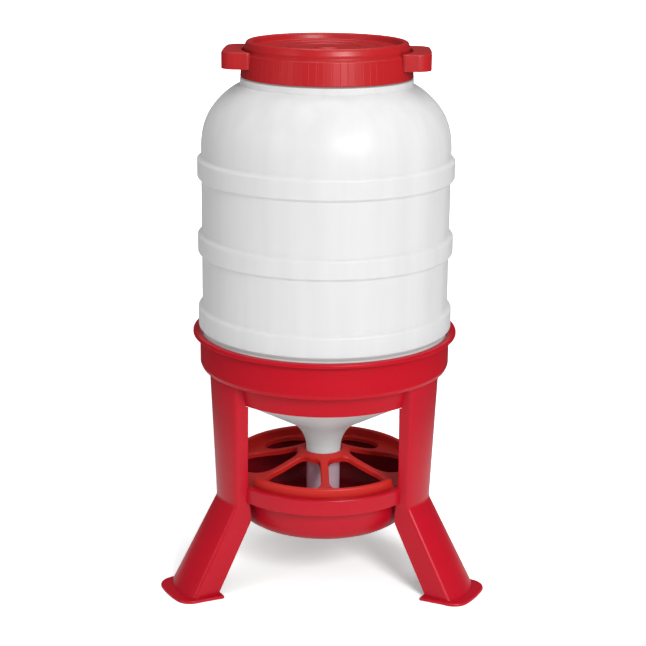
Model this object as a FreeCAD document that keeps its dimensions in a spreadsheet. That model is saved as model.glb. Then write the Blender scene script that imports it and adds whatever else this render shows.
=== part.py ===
import FreeCAD, Part
import math
import os
import Sketcher

# Gravity poultry feeder: a drum hopper with a screw lid stands in a three-legged
# stand and pours through its spout into a round pan closed by a feeding grill.
# Frame: millimetres, +Z up, origin on the floor on the feeder's axis, front -Y.

Vector = FreeCAD.Vector
doc = FreeCAD.newDocument("poultry_feeder")

# ---------------------------------------------------------------- dimensions
# Names ending in low, high or height are heights above the floor, except
# thread_height, which is the rise of the thread.
SIZES = dict(
    # drum
    body_radius=185.0, rib_radius=191.0, drum_wall=2.6,
    seat_radius=184.4, rib_a_low=616.8, rib_a_high=650.1,
    rib_b_low=504.5, rib_b_high=536.8, rib_c_low=388.0,
    rib_c_high=425.9, rib_ramp=3.4, shoulder_start=659.6,
    collar_radius=127.0, collar_low=755.2, collar_high=764.6,
    neck_radius=116.6, mouth_height=799.0, neck_wall=3.2,
    heel_ledge=332.5, heel_radius=171.6, plug_high_radius=166.6,
    plug_high=327.0, cone_radius=159.5, cone_high=295.5,
    spout_radius=26.5, spout_tip_radius=25.6, spout_end=114.0,
    spout_straight=168.0, flare_low=189.8, flare_radius=55.0,
    flare_high=238.0, spout_wall=2.5,
    # thread of the mouth
    thread_pitch=8.0, thread_low=776.5, thread_height=12.0,
    thread_crest=120.4,
    # lid
    lid_radius=126.7, lid_low=766.6, lid_groove=801.0,
    lid_top=817.2, lid_wall=2.7, lid_floor=808.0,
    ear_reach=152.0, ear_half=62.0, ear_low=781.0,
    ear_high=805.4, ear_corner=35.0,
    # seal
    seal_inner=111.6, seal_outer=118.4, seal_low=799.2,
    seal_thick=4.4,
    # flow regulator
    sleeve_radius=22.95, sleeve_wall=2.0, sleeve_low=102.0,
    sleeve_high=158.0, sleeve_lip=25.4,
    # basket
    rim_radius=199.6, rim_high=386.4, rim_lip=5.6,
    skirt_radius=189.2, skirt_wall=2.8, step_high=332.0,
    step_low=329.0, step_radius=185.4, ring_high_radius=170.5,
    ring_low_radius=162.9, ring_low=295.6, ring_wall=2.5,
    # legs
    leg_top=328.7, leg_top_half=44.1, leg_top_edge=174.0,
    leg_top_bulge=181.2, knee_height=135.0, knee_half=35.3,
    knee_edge=168.6, knee_bulge=175.4, foot_half=41.3,
    foot_edge=244.8, foot_bulge=256.0, leg_wall=3.0,
    sole_thick=4.4, sole_root_half=53.0, sole_flank=238.5,
    sole_tip_half=48.7, sole_reach=266.9, sole_end_half=26.5,
    sole_inner=199.0,
    hook_offset=22.0, hook_width=11.0,
    # pan
    pan_band_radius=157.2, pan_band_high=164.2, pan_band_low=139.5,
    pan_mouth=145.6, pan_wall=2.6, pan_ledge=150.0,
    pan_inner=138.5, pan_base_radius=116.0, pan_base=86.4,
    pan_floor=89.4, pan_turn=108.0, spreader_radius=17.0,
    spreader_high=103.5,
    # grill
    grill_radius=144.2, grill_inner=136.7, grill_wall=2.4,
    grill_high=176.8, grill_low=150.4, hub_bore=28.6,
    hub_high=190.5, grill_depth=8.0, window_inner=41.5,
    window_outer=131.0, spoke_half=6.2, window_fillet_in=14.0,
    window_fillet_out=34.0, leg_gap_half=34.2, plate_edge=163.4,
)
sheet = doc.addObject("Spreadsheet::Sheet", "Sheet")
for row, (alias, value) in enumerate(SIZES.items(), 1):
    sheet.set("A%d" % row, alias)
    sheet.set("B%d" % row, repr(value))
    sheet.setAlias("B%d" % row, alias)
doc.recompute()


class Length:
    """A length that knows its value and its expression over the sheet."""

    def __init__(self, value, text=None):
        self.value = float(value)
        self.text = text or repr(self.value)

    def __float__(self):
        return self.value

    def __add__(self, other):
        other = as_length(other)
        return Length(self.value + other.value, "(%s + %s)" % (self.text, other.text))

    def __sub__(self, other):
        other = as_length(other)
        return Length(self.value - other.value, "(%s - %s)" % (self.text, other.text))

    def __mul__(self, other):
        other = as_length(other)
        return Length(self.value * other.value, "(%s * %s)" % (self.text, other.text))

    def __neg__(self):
        return Length(-self.value, "(-1 * %s)" % self.text)


def as_length(x):
    return x if isinstance(x, Length) else Length(x)


class SheetSizes:
    """size.alias is the Length of that alias in the sheet."""

    def __getattr__(self, name):
        return Length(SIZES[name], "Sheet." + name)


size = SheetSizes()


def bind(target, path, length):
    """Drive a property by the sheet, unless the length is a plain number."""
    if isinstance(length, Length):
        target.setExpression(path, length.text)


# ------------------------------------------------------------------ sketches
def new_body(label):
    body = doc.addObject("PartDesign::Body", label)
    body.Label = label
    doc.recompute()
    return body


def new_sketch(body, name, role, offset=None):
    """Sketch on an origin plane, offset along its normal: XY to +Z, XZ to -Y."""
    plane = next(f for f in body.Origin.OriginFeatures if f.Role == role)
    sketch = body.newObject("Sketcher::SketchObject", name)
    sketch.AttachmentSupport = [(plane, "")]
    sketch.MapMode = "FlatFace"
    if offset is not None:
        sketch.AttachmentOffset = FreeCAD.Placement(
            Vector(0, 0, float(offset)), FreeCAD.Rotation())
        bind(sketch, "AttachmentOffset.Base.z", offset)
    doc.recompute()
    return sketch


def ccw_arc(start, middle, end):
    """Arc through three points, always stored anticlockwise, and which of its
    ends (1 start, 2 end) lie at start and at end."""
    turn = ((middle.x - start.x) * (end.y - middle.y)
            - (middle.y - start.y) * (end.x - middle.x))
    if turn > 0:
        return Part.Arc(start, middle, end), (1, 2)
    return Part.Arc(end, middle, start), (2, 1)


def add_sides(sketch, corners, bends):
    """Add a closed loop through the corners. bends[i] lists the points between
    corner i and the next: none for a line, one for an arc, more for a spline.
    Returns for each side which of its ends lie at its first and second corner."""
    sides, ends = [], []
    for i, start in enumerate(corners):
        end = corners[(i + 1) % len(corners)]
        bend = bends.get(i, [])
        order = (1, 2)
        if not bend:
            side = Part.LineSegment(start, end)
        elif len(bend) == 1:
            side, order = ccw_arc(start, bend[0], end)
        else:
            side = Part.BSplineCurve()
            side.interpolate([start] + bend + [end])
        sides.append(side)
        ends.append(order)
    sketch.addGeometry(sides, False)
    return ends


def joints(kind, ends):
    """Rules that join each side of a loop to the next."""
    rules = []
    for i in range(len(ends)):
        j = (i + 1) % len(ends)
        rules.append((Sketcher.Constraint(kind, i, ends[i][1], j, ends[j][0]), None))
    return rules


def constrain(sketch, rules):
    """Add the rules, pairs of a constraint and the Length that drives it."""
    sketch.addConstraint([constraint for constraint, length in rules])
    for i, (constraint, length) in enumerate(rules):
        bind(sketch, "Constraints[%d]" % i, length)
    doc.recompute()


def outline(sketch, path):
    """Close a sketch through the (x, y) tuples of path. A list of points between
    two of them bends that side: one point for an arc, more for a spline.
    Every vertex is dimensioned from the sketch origin."""
    vertices, bends = [], {}
    for item in path:
        if isinstance(item, tuple):
            vertices.append(item)
        else:
            bends[len(vertices) - 1] = [Vector(float(x), float(y), 0) for x, y in item]
    corners = [Vector(float(x), float(y), 0) for x, y in vertices]
    ends = add_sides(sketch, corners, bends)
    rules = joints("Coincident", ends)
    for i, vertex in enumerate(vertices):
        end = ends[i][0]
        for length, kind, axis in zip(vertex, ("DistanceX", "DistanceY"), (-2, -1)):
            if abs(float(length)) < 1e-9:
                rules.append((Sketcher.Constraint("PointOnObject", i, end, axis), None))
            else:
                rules.append(
                    (Sketcher.Constraint(kind, -1, 1, i, end, float(length)), length))
    constrain(sketch, rules)


# ------------------------------------------------------------------ features
def require_cut(body, volume_before, name):
    if not body.Shape.Volume < volume_before - 1e-3:
        raise RuntimeError("%s.%s removes nothing" % (body.Label, name))


def revolve(body, sketch, name, kind="Revolution"):
    feature = body.newObject("PartDesign::" + kind, name)
    feature.Profile = sketch
    feature.ReferenceAxis = (sketch, ["V_Axis"])
    feature.Angle = 360.0
    sketch.Visibility = False
    doc.recompute()


def revolved_body(label, profile_name, feature_name, path):
    """New body turned about Z from a closed (radius, height) path."""
    body = new_body(label)
    sketch = new_sketch(body, profile_name, "XZ_Plane")
    outline(sketch, path)
    revolve(body, sketch, feature_name)
    return body


def extrude(body, kind, sketch, name, length, reverse, middle=False):
    feature = body.newObject("PartDesign::" + kind, name)
    feature.Profile = sketch
    feature.Type = 0
    feature.Length = float(length)
    bind(feature, "Length", length)
    feature.Reversed = reverse
    feature.Midplane = middle
    doc.recompute()
    return feature


def pad(body, sketch, name, length, reverse=False):
    """Grow along the sketch's normal, or against it when reversed."""
    return extrude(body, "Pad", sketch, name, length, reverse)


def pocket(body, sketch, name, length, reverse=False, middle=False):
    """Cut against the sketch's normal, along it when reversed, or half each way."""
    before = body.Shape.Volume
    feature = extrude(body, "Pocket", sketch, name, length, reverse, middle)
    require_cut(body, before, name)
    return feature


def polar(body, features, sketch, count, name):
    pattern = body.newObject("PartDesign::PolarPattern", name)
    pattern.Originals = features
    pattern.Axis = (sketch, ["N_Axis"])
    pattern.Angle = 360.0
    pattern.Occurrences = count
    body.Tip = pattern
    doc.recompute()


def circles_at(radius, *heights):
    """Edge test: a circle about the Z axis of this radius at one of the heights."""
    tolerance = 0.15

    def test(edge):
        curve = edge.Curve
        return (
            isinstance(curve, Part.Circle)
            and abs(curve.Radius - float(radius)) < tolerance
            and any(abs(curve.Center.z - float(height)) < tolerance for height in heights)
            and math.hypot(curve.Center.x, curve.Center.y) < tolerance
        )
    return test


def fillet(body, name, edge_test, radius):
    """Round the edges that pass the test; the fillet is kept only when it is
    valid, and the return value tells whether it was."""
    base = body.Tip
    names = ["Edge%d" % i for i, edge in enumerate(base.Shape.Edges, 1) if edge_test(edge)]
    if not names:
        raise RuntimeError("no edge for %s.%s" % (body.Label, name))
    feature = body.newObject("PartDesign::Fillet", name)
    feature.Base = (base, names)
    feature.Radius = radius
    doc.recompute()
    if ("Invalid" in feature.State or "Error" in feature.State
            or feature.Shape.isNull() or not feature.Shape.isValid()):
        body.removeObject(feature)
        doc.removeObject(feature.Name)
        body.Tip = base
        doc.recompute()
        return False
    return True


def turn(body, angle):
    body.Placement = FreeCAD.Placement(
        Vector(0, 0, 0), FreeCAD.Rotation(Vector(0, 0, 1), angle))
    doc.recompute()


# -------------------------------------------------------------------- thread
# The drum and the lid carry mating right-hand threads, half a pitch apart.
THREAD_ROOT_HALF = 1.7      # half the ridge's height at its root
THREAD_CREST_HALF = 0.9     # and at its crest


def add_thread(body, label, fused_label, helix_radius, root, crest, start, rise):
    """Fuse the body with a helical ridge of trapezium section."""
    root, crest, start = float(root), float(crest), float(start)
    helix = Part.makeHelix(float(size.thread_pitch), float(rise), float(helix_radius))
    helix.translate(Vector(0, 0, start))
    section = Part.makePolygon([
        Vector(root, 0, start - THREAD_ROOT_HALF),
        Vector(crest, 0, start - THREAD_CREST_HALF),
        Vector(crest, 0, start + THREAD_CREST_HALF),
        Vector(root, 0, start + THREAD_ROOT_HALF),
        Vector(root, 0, start - THREAD_ROOT_HALF)])
    ridge = doc.addObject("Part::Feature", label)
    ridge.Shape = Part.Wire(helix).makePipeShell([section], True, True)
    fused = doc.addObject("Part::Fuse", fused_label)
    fused.Base = body
    fused.Tool = ridge
    doc.recompute()
    return fused


# ============================================================== hopper drum
# Outside of the shoulder, from the body up to the collar: (radius, height)
SHOULDER = [
    (184.5, 674.0), (182.9, 685.3), (180.4, 695.4), (177.0, 704.7),
    (172.8, 713.3), (167.9, 721.1), (162.6, 728.2), (156.9, 734.5),
    (151.1, 740.0), (145.5, 744.7), (140.1, 748.5), (135.2, 751.5),
    (131.2, 753.6),
]
SHOULDER_THICKENING = 0.4       # added to the drum wall
SHOULDER_INNER_LIMIT = 128.0    # the inner shoulder keeps only points outside this
FLARE_MID_ANGLE = math.radians(180 - 30.6)
HEEL_MID = (size.heel_radius + 9.3, size.heel_ledge + 8.1)
RIB_INSET = 1.2                 # the inside of a rib is this much shorter at each end


def inset_shoulder():
    """The shoulder's points moved inwards by its wall, from the top down."""
    thickness = float(size.drum_wall + SHOULDER_THICKENING)
    points = ([(float(size.body_radius), float(size.shoulder_start))] + SHOULDER
              + [(float(size.collar_radius), float(size.collar_low))])
    moved = []
    for before, (radius, height), after in zip(points, points[1:], points[2:]):
        run = after[0] - before[0]
        rise = after[1] - before[1]
        span = math.hypot(run, rise)
        moved.append((radius - thickness * rise / span, height + thickness * run / span))
    return [point for point in reversed(moved) if point[0] > SHOULDER_INNER_LIMIT]


def flare_mid(arc_radius):
    """Middle of the arc that opens the spout into the cone."""
    return (size.spout_radius + size.flare_radius + arc_radius * math.cos(FLARE_MID_ANGLE),
            size.flare_low + arc_radius * math.sin(FLARE_MID_ANGLE))


def rib_side(low, high, inwards):
    """A rib's four points from its lower end up, on a wall moved inwards."""
    return [
        (size.body_radius - inwards, low),
        (size.rib_radius - inwards, low + size.rib_ramp),
        (size.rib_radius - inwards, high - size.rib_ramp),
        (size.body_radius - inwards, high),
    ]


def rib_inside(low, high):
    """The inner side of a rib, from its upper end down."""
    return rib_side(low + RIB_INSET, high - RIB_INSET, size.drum_wall)[::-1]


def make_drum():
    """One hollow piece: mouth, shoulder, ribbed body, stepped foot, cone, spout."""
    wall = size.drum_wall
    bore = size.neck_radius - size.neck_wall
    outside = [
        (size.spout_tip_radius, size.spout_end),
        (size.spout_tip_radius, size.spout_straight),
        (size.spout_radius, size.flare_low),
        [flare_mid(size.flare_radius)],
        (55.0, size.flare_high),
        (size.cone_radius, size.cone_high),
        (size.plug_high_radius, size.plug_high),
        (size.plug_high_radius + 1.2, size.heel_ledge),
        (size.heel_radius, size.heel_ledge),
        [HEEL_MID],
        (size.seat_radius, size.heel_ledge + 20.0),
        (size.seat_radius, size.rib_c_low - 2.2),
        (size.rib_radius, size.rib_c_low + 6.0),
        (size.rib_radius, size.rib_c_high - size.rib_ramp),
        (size.body_radius, size.rib_c_high),
        *rib_side(size.rib_b_low, size.rib_b_high, 0.0),
        *rib_side(size.rib_a_low, size.rib_a_high, 0.0),
        (size.body_radius, size.shoulder_start),
        SHOULDER,
        (size.collar_radius, size.collar_low),
        (size.collar_radius, size.collar_high),
        (size.neck_radius, size.collar_high),
        (size.neck_radius, size.mouth_height),
    ]
    inside = [
        (bore, size.mouth_height),
        (bore, size.collar_high - 5.6),
        (size.collar_radius - wall - 2.4, size.collar_low - 5.4),
        inset_shoulder(),
        (size.body_radius - wall, size.shoulder_start),
        *rib_inside(size.rib_a_low, size.rib_a_high),
        *rib_inside(size.rib_b_low, size.rib_b_high),
        (size.body_radius - wall, size.rib_c_high - RIB_INSET),
        (size.rib_radius - wall, size.rib_c_high - size.rib_ramp - RIB_INSET),
        (size.rib_radius - wall, size.rib_c_low + 7.0),
        (size.seat_radius - wall, size.rib_c_low - RIB_INSET),
        (size.seat_radius - wall, size.heel_ledge + 20.0),
        [(HEEL_MID[0] - 2.0, HEEL_MID[1] + 1.7)],
        (size.heel_radius - 0.4, size.heel_ledge + wall),
        (size.plug_high_radius - wall + 0.9, size.heel_ledge + wall),
        (size.plug_high_radius - wall, size.plug_high + 1.0),
        (size.cone_radius - wall, size.cone_high + 1.5),
        (54.0, size.flare_high + 2.4),
        [flare_mid(size.flare_radius + size.spout_wall)],
        (size.spout_radius - size.spout_wall, size.flare_low + 0.6),
        (size.spout_tip_radius - size.spout_wall, size.spout_straight),
        (size.spout_tip_radius - size.spout_wall, size.spout_end),
    ]
    drum = revolved_body("hopper_drum", "drum_wall_profile", "drum_wall", outside + inside)
    ramp = size.rib_ramp
    fillet(drum, "rib_rounding",
           circles_at(size.rib_radius,
                      size.rib_a_low + ramp, size.rib_a_high - ramp,
                      size.rib_b_low + ramp, size.rib_b_high - ramp,
                      size.rib_c_high - ramp, size.rib_c_low + 6.0), 2.2)
    fillet(drum, "body_rounding",
           circles_at(size.body_radius, size.rib_a_low, size.rib_a_high,
                      size.rib_b_low, size.rib_b_high, size.rib_c_high), 1.8)
    fillet(drum, "foot_rounding", circles_at(size.cone_radius, size.cone_high), 2.5)
    fillet(drum, "collar_rounding", circles_at(size.collar_radius, size.collar_high), 1.5)
    return add_thread(
        drum, "drum_thread", "hopper_drum_threaded", helix_radius=size.neck_radius,
        root=size.neck_radius - 0.8, crest=size.thread_crest,
        start=size.thread_low, rise=size.thread_height)


# ============================================================ flow regulator
def make_regulator():
    """Sleeve with a lip round its lower end."""
    bore = size.sleeve_radius - size.sleeve_wall
    regulator = revolved_body("flow_regulator", "sleeve_profile", "sleeve", [
        (bore, size.sleeve_low),
        (size.sleeve_lip, size.sleeve_low),
        (size.sleeve_lip, size.sleeve_low + 2.4),
        (size.sleeve_radius, size.sleeve_low + 3.2),
        (size.sleeve_radius, size.sleeve_high),
        (bore + 0.6, size.sleeve_high),
        (bore, size.sleeve_high - 3.0),
    ])
    fillet(regulator, "lip_rounding", circles_at(size.sleeve_lip, size.sleeve_low), 0.8)
    return regulator


# ====================================================================== lid
EAR_WALL = 2.6
EAR_SEAT = 124.6            # radius where the ears meet the skirt
EAR_HOLLOW_SEAT = 127.6     # radius where their hollows start
EAR_SIDES = ((1, "right"), (-1, "left"))


def ear_outline(sketch, side, inset, seat_radius):
    """Lug outside the skirt: arc along the seat radius, then a rounded outer end."""
    reach = size.ear_reach - inset
    half = size.ear_half - inset
    corner = size.ear_corner - inset
    seat_x = side * math.sqrt(seat_radius ** 2 - half.value ** 2)
    corner_x = (reach - corner) * side
    # middle of a quarter-circle corner, measured in from both of its sides
    corner_trim = corner * (1 - math.sqrt(0.5))
    outline(sketch, [
        (seat_x, -half),
        (corner_x, -half),
        [((reach - corner_trim) * side, -(half - corner_trim))],
        (reach * side, -(half - corner)),
        [((reach + 1.2) * side, 0.0)],
        (reach * side, half - corner),
        [((reach - corner_trim) * side, half - corner_trim)],
        (corner_x, half),
        (seat_x, half),
        [(side * seat_radius, 0.0)],
    ])


def is_ear_top_edge(edge):
    top = float(size.ear_high)
    box = edge.BoundBox
    centre = edge.CenterOfMass
    return (abs(box.ZMin - top) < 1e-4 and abs(box.ZMax - top) < 1e-4
            and math.hypot(centre.x, centre.y) > 127.5)


def make_lid():
    """Screw lid with a rolled edge, a skirt and two hollow ears."""
    top, groove, floor = size.lid_top, size.lid_groove, size.lid_floor
    underside = floor - size.lid_wall
    lid = revolved_body("lid", "lid_profile", "lid_shell", [
        # underside, from the boss in the middle out to the roll
        (0.0, floor + 1.6),
        (0.0, underside + 1.6),
        (17.0, underside + 1.6),
        (19.0, underside),
        (106.0, underside),
        (110.6, top - 8.2),
        [(114.3, top - 2.7)],
        (118.2, groove + 2.9),
        # skirt, down its inside and up its outside
        (121.0, groove - 1.6),
        (size.lid_radius - size.lid_wall - 0.2, size.lid_low + 1.0),
        (size.lid_radius - size.lid_wall + 0.4, size.lid_low),
        (size.lid_radius, size.lid_low),
        (124.2, groove - 1.0),
        (121.4, groove + 0.6),
        # over the roll
        (120.6, groove + 3.4),
        [(119.0, top - 3.4)],
        (114.3, top),
        [(109.6, top - 2.2)],
        (107.6, floor + 3.2),
        [(106.8, floor + 0.9)],
        (104.6, floor),
        # two raised rings, then the boss
        (88.0, floor), (86.6, floor + 1.3), (80.4, floor + 1.3), (79.0, floor),
        (56.0, floor), (54.6, floor + 1.3), (49.4, floor + 1.3), (48.0, floor),
        (20.0, floor),
        (18.4, floor + 1.6),
    ])
    ear_height = size.ear_high - size.ear_low
    for side, tag in EAR_SIDES:
        sketch = new_sketch(lid, "ear_plan_" + tag, "XY_Plane", size.ear_low)
        ear_outline(sketch, side, 0.0, EAR_SEAT)
        pad(lid, sketch, "ear_" + tag, ear_height)
    for side, tag in EAR_SIDES:
        sketch = new_sketch(lid, "ear_hollow_plan_" + tag, "XY_Plane", size.ear_low)
        ear_outline(sketch, side, EAR_WALL, EAR_HOLLOW_SEAT)
        pocket(lid, sketch, "ear_hollow_" + tag, ear_height - EAR_WALL, reverse=True)
    fillet(lid, "ear_rounding", is_ear_top_edge, 1.2)
    return add_thread(
        lid, "lid_thread", "lid_threaded", helix_radius=size.lid_radius - 4.2,
        root=size.lid_radius - 3.4, crest=118.0,
        start=size.thread_low - size.thread_pitch * 0.5, rise=size.thread_height - 2.0)


# ===================================================================== seal
def make_seal():
    """Flat ring over the drum's mouth, its upper outer corner bevelled."""
    top = size.seal_low + size.seal_thick
    return revolved_body("lid_seal", "seal_profile", "seal_ring", [
        (size.seal_inner, size.seal_low),
        (size.seal_outer, size.seal_low),
        (size.seal_outer, top - 1.4),
        (size.seal_outer - 3.2, top),
        (size.seal_inner, top),
    ])


# =================================================================== basket
SLOT_INNER = 175.6
SLOT_OUTER = 178.7
SLOT_PLAY = 0.5     # on each side of a hook


def make_basket():
    """Stepped ring that carries the drum, with a turned-over rim."""
    rim, skirt, step = size.rim_radius, size.skirt_radius, size.step_radius
    rim_top = size.rim_high
    skirt_inner = skirt - size.skirt_wall
    basket = revolved_body("support_basket", "basket_profile", "basket_shell", [
        (size.ring_low_radius - size.ring_wall, size.ring_low),
        (size.ring_low_radius, size.ring_low),
        (size.ring_high_radius, size.step_low),
        (step, size.step_low),
        [(step + 2.9, size.step_low + 1.8)],
        (skirt, size.step_low + 7.0),
        (skirt, rim_top - 7.4),
        [(skirt + 1.35, rim_top - 4.15)],
        (skirt + 4.6, rim_top - 2.8),
        (rim - 2.7, rim_top - 2.8),
        (rim - 2.7, rim_top - size.rim_lip),
        (rim, rim_top - size.rim_lip),
        (rim, rim_top - 2.2),
        [(rim - 0.65, rim_top - 0.65)],
        (rim - 2.2, rim_top),
        (skirt + 1.6, rim_top),
        [(skirt - 1.5, rim_top - 1.3)],
        (skirt_inner, rim_top - 4.4),
        (skirt_inner, size.step_high + 6.0),
        [(step - 0.6, size.step_high + 1.7)],
        (step - 4.6, size.step_high),
        (size.ring_high_radius - size.ring_wall + 0.5, size.step_high),
        (size.ring_high_radius - size.ring_wall, size.step_high - 1.4),
    ])
    # two slots over each leg take the leg's hooks
    slot_half = size.hook_width * 0.5 + SLOT_PLAY
    slots = []
    for tag, plan_name, middle in (("a", "hook_slot_plan", size.hook_offset),
                                   ("b", "hook_slot_plan_b", -size.hook_offset)):
        sketch = new_sketch(basket, plan_name, "XY_Plane", size.step_low - 1.0)
        outline(sketch, [
            (SLOT_INNER, middle - slot_half), (SLOT_OUTER, middle - slot_half),
            (SLOT_OUTER, middle + slot_half), (SLOT_INNER, middle + slot_half)])
        slots.append(pocket(basket, sketch, "hook_slot_" + tag, 5.0, reverse=True))
    polar(basket, slots, slots[0].Profile[0], 3, "hook_slots")
    turn(basket, 90.0)
    return basket


# ===================================================================== legs
# Each leg is modelled along +X and then turned to its place.
LEG_CUT_WIDTH = 130.0                           # cuts right across a leg
ARRIS_RADII = (7.0, 6.0, 5.0, 4.0, 3.0)         # the first that gives a valid fillet


def leg_loft(leg, kind, name, sections):
    """Ruled loft through sections with a bulged outer side, listed as
    (sketch name, height, inner x, edge x, bulge x, half width)."""
    sketches = []
    for sketch_name, height, inner, edge, bulge, half in sections:
        sketch = new_sketch(leg, sketch_name, "XY_Plane", height)
        outline(sketch, [
            (inner, -half), (edge, -half), [(bulge, 0.0)], (edge, half), (inner, half)])
        sketches.append(sketch)
    loft = leg.newObject("PartDesign::" + kind, name)
    loft.Profile = sketches[0]
    loft.Sections = sketches[1:]
    loft.Ruled = True
    doc.recompute()


def is_outer_arris(edge):
    """Long upright edge on the outer side of a leg."""
    box = edge.BoundBox
    return box.ZLength > 50.0 and box.XMin > 150.0 and abs(edge.CenterOfMass.y) > 30.0


def add_sole(leg):
    inner, flank, reach = size.sole_inner, size.sole_flank, size.sole_reach
    root, tip, end = size.sole_root_half, size.sole_tip_half, size.sole_end_half
    sketch = new_sketch(leg, "sole_plan", "XY_Plane")
    outline(sketch, [
        (inner, -root + 2.5),
        [(inner + 0.75, -root + 0.75)],
        (inner + 2.5, -root),
        (flank, -tip),
        [(reach - 7.3, -end - 14.7)],
        (reach, -end),
        [(reach + 1.9, 0.0)],
        (reach, end),
        [(reach - 7.3, end + 14.7)],
        (flank, tip),
        (inner + 2.5, root),
        [(inner + 0.75, root - 0.75)],
        (inner, root - 2.5),
    ])
    pad(leg, sketch, "sole", size.sole_thick)


def add_hook(leg, side, tag):
    """Hook through a slot of the basket, grown away from the leg's middle."""
    near_side = size.hook_offset - size.hook_width * 0.5
    sketch = new_sketch(leg, "hook_view_" + tag, "XZ_Plane", near_side * -side)
    outline(sketch, [
        (176.0, size.leg_top - 6.0), (178.2, size.leg_top - 6.0),
        (178.2, size.step_high + 3.0), (176.2, size.step_high + 2.4),
        (174.2, size.step_high + 1.2), (174.2, size.step_high + 0.3),
        (176.0, size.step_high + 0.3)])
    pad(leg, sketch, "hook_" + tag, size.hook_width, reverse=side > 0)


def make_leg(label, angle):
    """Channel-shaped leg, open towards the feeder's axis, on a flat sole."""
    leg = new_body(label)
    leg_loft(leg, "AdditiveLoft", "leg_block", [
        ("section_top", size.leg_top, 145.0,
         size.leg_top_edge, size.leg_top_bulge, size.leg_top_half),
        ("section_knee", size.knee_height, 122.0,
         size.knee_edge, size.knee_bulge, size.knee_half),
        ("section_foot", None, 196.0,
         size.foot_edge, size.foot_bulge, size.foot_half),
    ])
    for radius in ARRIS_RADII:
        if fillet(leg, "arris_rounding", is_outer_arris, radius):
            break
    # inner edges of the side walls, seen from the side
    sketch = new_sketch(leg, "side_view_trim", "XZ_Plane")
    outline(sketch, [
        (90.0, size.leg_top + 5.0), (155.0, size.leg_top + 5.0),
        (155.0, size.ring_low - 3.6), (152.2, size.ring_low - 9.6),
        (151.0, 184.0), (147.0, 145.0), (144.9, 118.0), (145.2, 108.5),
        (202.5, size.sole_thick), (202.5, -2.0), (90.0, -2.0)])
    pocket(leg, sketch, "side_trim", LEG_CUT_WIDTH, middle=True)
    wall = size.leg_wall
    before = leg.Shape.Volume
    leg_loft(leg, "SubtractiveLoft", "channel", [
        ("channel_top", size.leg_top - 3.0, 120.0, size.leg_top_edge - 2.4,
         size.leg_top_bulge - wall, size.leg_top_half - wall),
        ("channel_knee", size.knee_height - 1.6, 100.0, size.knee_edge - 2.6,
         size.knee_bulge - wall - 0.2, size.knee_half - wall),
        ("channel_foot", None, 150.0, size.foot_edge - 3.4,
         size.foot_bulge - wall - 0.6, size.foot_half - wall),
    ])
    require_cut(leg, before, "channel")
    # room for the basket's lower ring
    sketch = new_sketch(leg, "ring_room_profile", "XZ_Plane")
    outline(sketch, [
        (120.0, size.ring_low - 0.5), (size.ring_low_radius + 0.4, size.ring_low - 0.5),
        (size.ring_high_radius + 0.4, size.step_low + 0.4), (120.0, size.step_low + 0.4)])
    before = leg.Shape.Volume
    revolve(leg, sketch, "ring_room", kind="Groove")
    require_cut(leg, before, "ring_room")
    # notch that carries the pan's band
    sketch = new_sketch(leg, "pan_notch_view", "XZ_Plane")
    outline(sketch, [
        (120.0, size.pan_band_low - 0.4), (155.4, size.pan_band_low - 0.4),
        (155.4, size.pan_band_high + 0.4), (120.0, size.pan_band_high + 0.4)])
    pocket(leg, sketch, "pan_notch", LEG_CUT_WIDTH, middle=True)
    add_sole(leg)
    add_hook(leg, 1, "a")
    add_hook(leg, -1, "b")
    turn(leg, angle)
    return leg


# ====================================================================== pan
def make_pan():
    """Round pan with a cone in the middle and a band turned down round its mouth."""
    wall, band, mouth = size.pan_wall, size.pan_band_radius, size.pan_mouth
    band_top = size.pan_band_high
    return revolved_body("feed_pan", "pan_profile", "pan_shell", [
        # underside and outside
        (0.0, size.pan_base),
        (size.pan_base_radius, size.pan_base),
        [(size.pan_inner - 8.1, size.pan_base + 7.2)],
        (size.pan_inner - 1.0, size.pan_turn),
        (size.pan_inner + wall, size.pan_ledge - 3.4),
        (mouth + wall, size.pan_ledge - 1.6),
        # band
        (mouth + wall, band_top - wall),
        (band - wall, band_top - wall),
        (band - wall, size.pan_band_low),
        (band, size.pan_band_low),
        (band, band_top - 2.2),
        [(band - 0.64, band_top - 0.64)],
        (band - 2.2, band_top),
        # inside, down to the floor
        (mouth + 1.2, band_top),
        (mouth, band_top - 1.2),
        (mouth, size.pan_ledge),
        (size.pan_inner, size.pan_ledge),
        (size.pan_inner - wall - 1.0, size.pan_turn + 1.5),
        [(size.pan_inner - 10.6, size.pan_base + 9.9)],
        (size.pan_base_radius - 1.0, size.pan_floor),
        # cone
        (size.spreader_radius + 3.0, size.pan_floor),
        (size.spreader_radius, size.pan_floor + 0.8),
        (4.5, size.spreader_high - 0.8),
        (0.0, size.spreader_high),
    ])


# ==================================================================== grill
# Upper side of the domed plate, from the hub outwards: (radius, height)
DOME = [
    (31.0, 189.9), (36.0, 188.3), (42.0, 186.0), (50.0, 182.7), (60.0, 178.9),
    (72.0, 174.5), (85.0, 170.4), (98.0, 167.2), (110.0, 165.0), (120.0, 164.1),
    (128.0, 163.7),
]
GRILL_TURN = 32.0           # degrees about +Z
LEG_GAP_INNER = 128.0
LEG_GAP_OUTER = 152.0
WINDOW_COUNT = 6
WINDOW_ANGLE = math.radians(360.0 / WINDOW_COUNT)


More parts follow.
